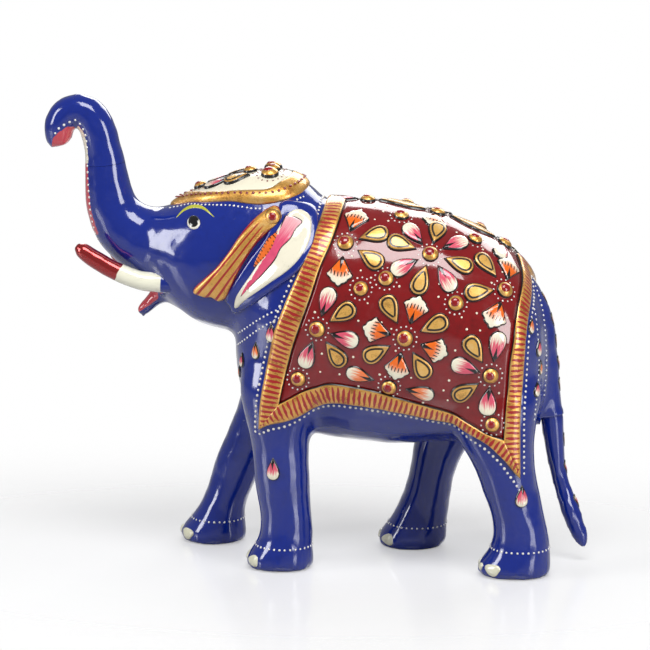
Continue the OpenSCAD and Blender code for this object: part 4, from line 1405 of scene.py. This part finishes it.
def scatter(name, items, settings, material, replaced=()):
    mesh = bpy.data.meshes.new(name + "Points")
    mesh.from_pydata([p * mm for p, n, r in items], [], [])
    facing = mesh.attributes.new("facing", "FLOAT_VECTOR", "POINT")
    facing.data.foreach_set("vector", [c for p, n, r in items for c in n])
    radius = mesh.attributes.new("domeRadius", "FLOAT", "POINT")
    radius.data.foreach_set("value", [r * mm for p, n, r in items])
    o = newObject(name, mesh)
    m = o.modifiers.new("domes", "NODES")
    m.node_group = domes
    names = {s.name: s.identifier for s in domes.interface.items_tree if s.in_out == "INPUT"}
    for key, value in {**settings, "Coating": material}.items():
        m[names[key]] = value
    made = evaluatedMesh(o)
    o.modifiers.clear()
    o.data = made
    return finishPiece(o, material, replaced)


scatter("bosses", bosses, {"Height": 0.72, "Segments": 24, "Rings": 14, "Wobble": 0.03}, finish["boss"],
        ["bosses"])
scatter("bossStones", stones, {"Height": 0.5, "Segments": 16, "Rings": 10, "Wobble": 0.1}, finish["stone"],
        ["stones"])
scatter("paintedPearls", pearls, {"Height": 0.55}, finish["pearl"])
scatter("clothSpecks", specks, {"Height": 0.35}, finish["cloth"])
scatter("rimDots", redDots, {"Height": 0.45}, finish["redDot"])
print("dots:", len(pearls) + len(specks) + len(redDots), "bosses:", len(bosses))

for key in ("trunk_dowel", "tail_dowel", "ear_pins"):
    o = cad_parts[key]
    o.data.materials.clear()
    o.data.materials.append(finish["wood"])

studio = {
    "azimuth": 6, "elevation": 12.1, "distance": 1.3, "target": (0.0024, 0, 0.0755), "frameWidth": 0.20696,
    "lights": [
        # name, place, aim, width, height, watts
        ("topSoftbox", (0.1, -0.35, 0.75), (0.02, 0, 0.07), 0.5, 0.35, 4),
        ("leftSoftbox", (-0.75, -0.35, 0.35), (-0.03, 0, 0.07), 0.25, 0.5, 3),
        ("rightSoftbox", (0.7, -0.55, 0.3), (0.03, 0, 0.06), 0.32, 0.5, 3.4),
        ("backSoftbox", (0.1, 0.7, 0.5), (0, 0, 0.05), 0.8, 0.4, 4),
    ],
    "surround": 0.23,
}


def buildStudio():
    mesh = bpy.data.meshes.new("studioFloor")
    s = 12.0
    mesh.from_pydata([(-s, -s, 0), (s, -s, 0), (s, s, 0), (-s, s, 0)], [], [(0, 1, 2, 3)])
    floor = newObject("studioFloor", mesh)
    floor.data.materials.append(newMaterial("studioFloor", studioFloor, coat=0.25, coatRoughness=0.08))
    for name, place, aim, wide, tall, watts in studio["lights"]:
        light = bpy.data.lights.new(name, "AREA")
        light.shape = "RECTANGLE"
        light.size, light.size_y, light.energy = wide, tall, watts
        o = newObject(name, light)
        o.location = place
        o.rotation_mode = "QUATERNION"
        o.rotation_quaternion = (Vector(aim) - Vector(place)).to_track_quat("-Z", "Y")
    world = bpy.data.worlds.new("studio")
    scene.world = world
    world.use_nodes = True
    tree = world.node_tree
    tree.nodes.clear()
    seen = node(tree, "ShaderNodeLightPath").outputs["Is Camera Ray"]
    white = node(tree, "ShaderNodeBackground", {"Color": (1, 1, 1, 1), "Strength": 1.0}).outputs[0]
    dim = node(tree, "ShaderNodeBackground", {"Color": (1, 1, 1, 1), "Strength": studio["surround"]}).outputs[0]
    mix = node(tree, "ShaderNodeMixShader", {0: seen, 1: dim, 2: white}).outputs[0]
    node(tree, "ShaderNodeOutputWorld", {"Surface": mix})
    scene.view_settings.view_transform = "Standard"
    camera = newObject("camera", bpy.data.cameras.new("camera"))
    a, e = math.radians(studio["azimuth"]), math.radians(studio["elevation"])
    back = Vector((math.sin(a) * math.cos(e), -math.cos(a) * math.cos(e), math.sin(e)))
    camera.location = Vector(studio["target"]) + back * studio["distance"]
    camera.rotation_mode = "QUATERNION"
    camera.rotation_quaternion = (-back).to_track_quat("-Z", "Y")
    camera.data.lens = 36 * studio["distance"] / studio["frameWidth"]
    scene.camera = camera


buildStudio()
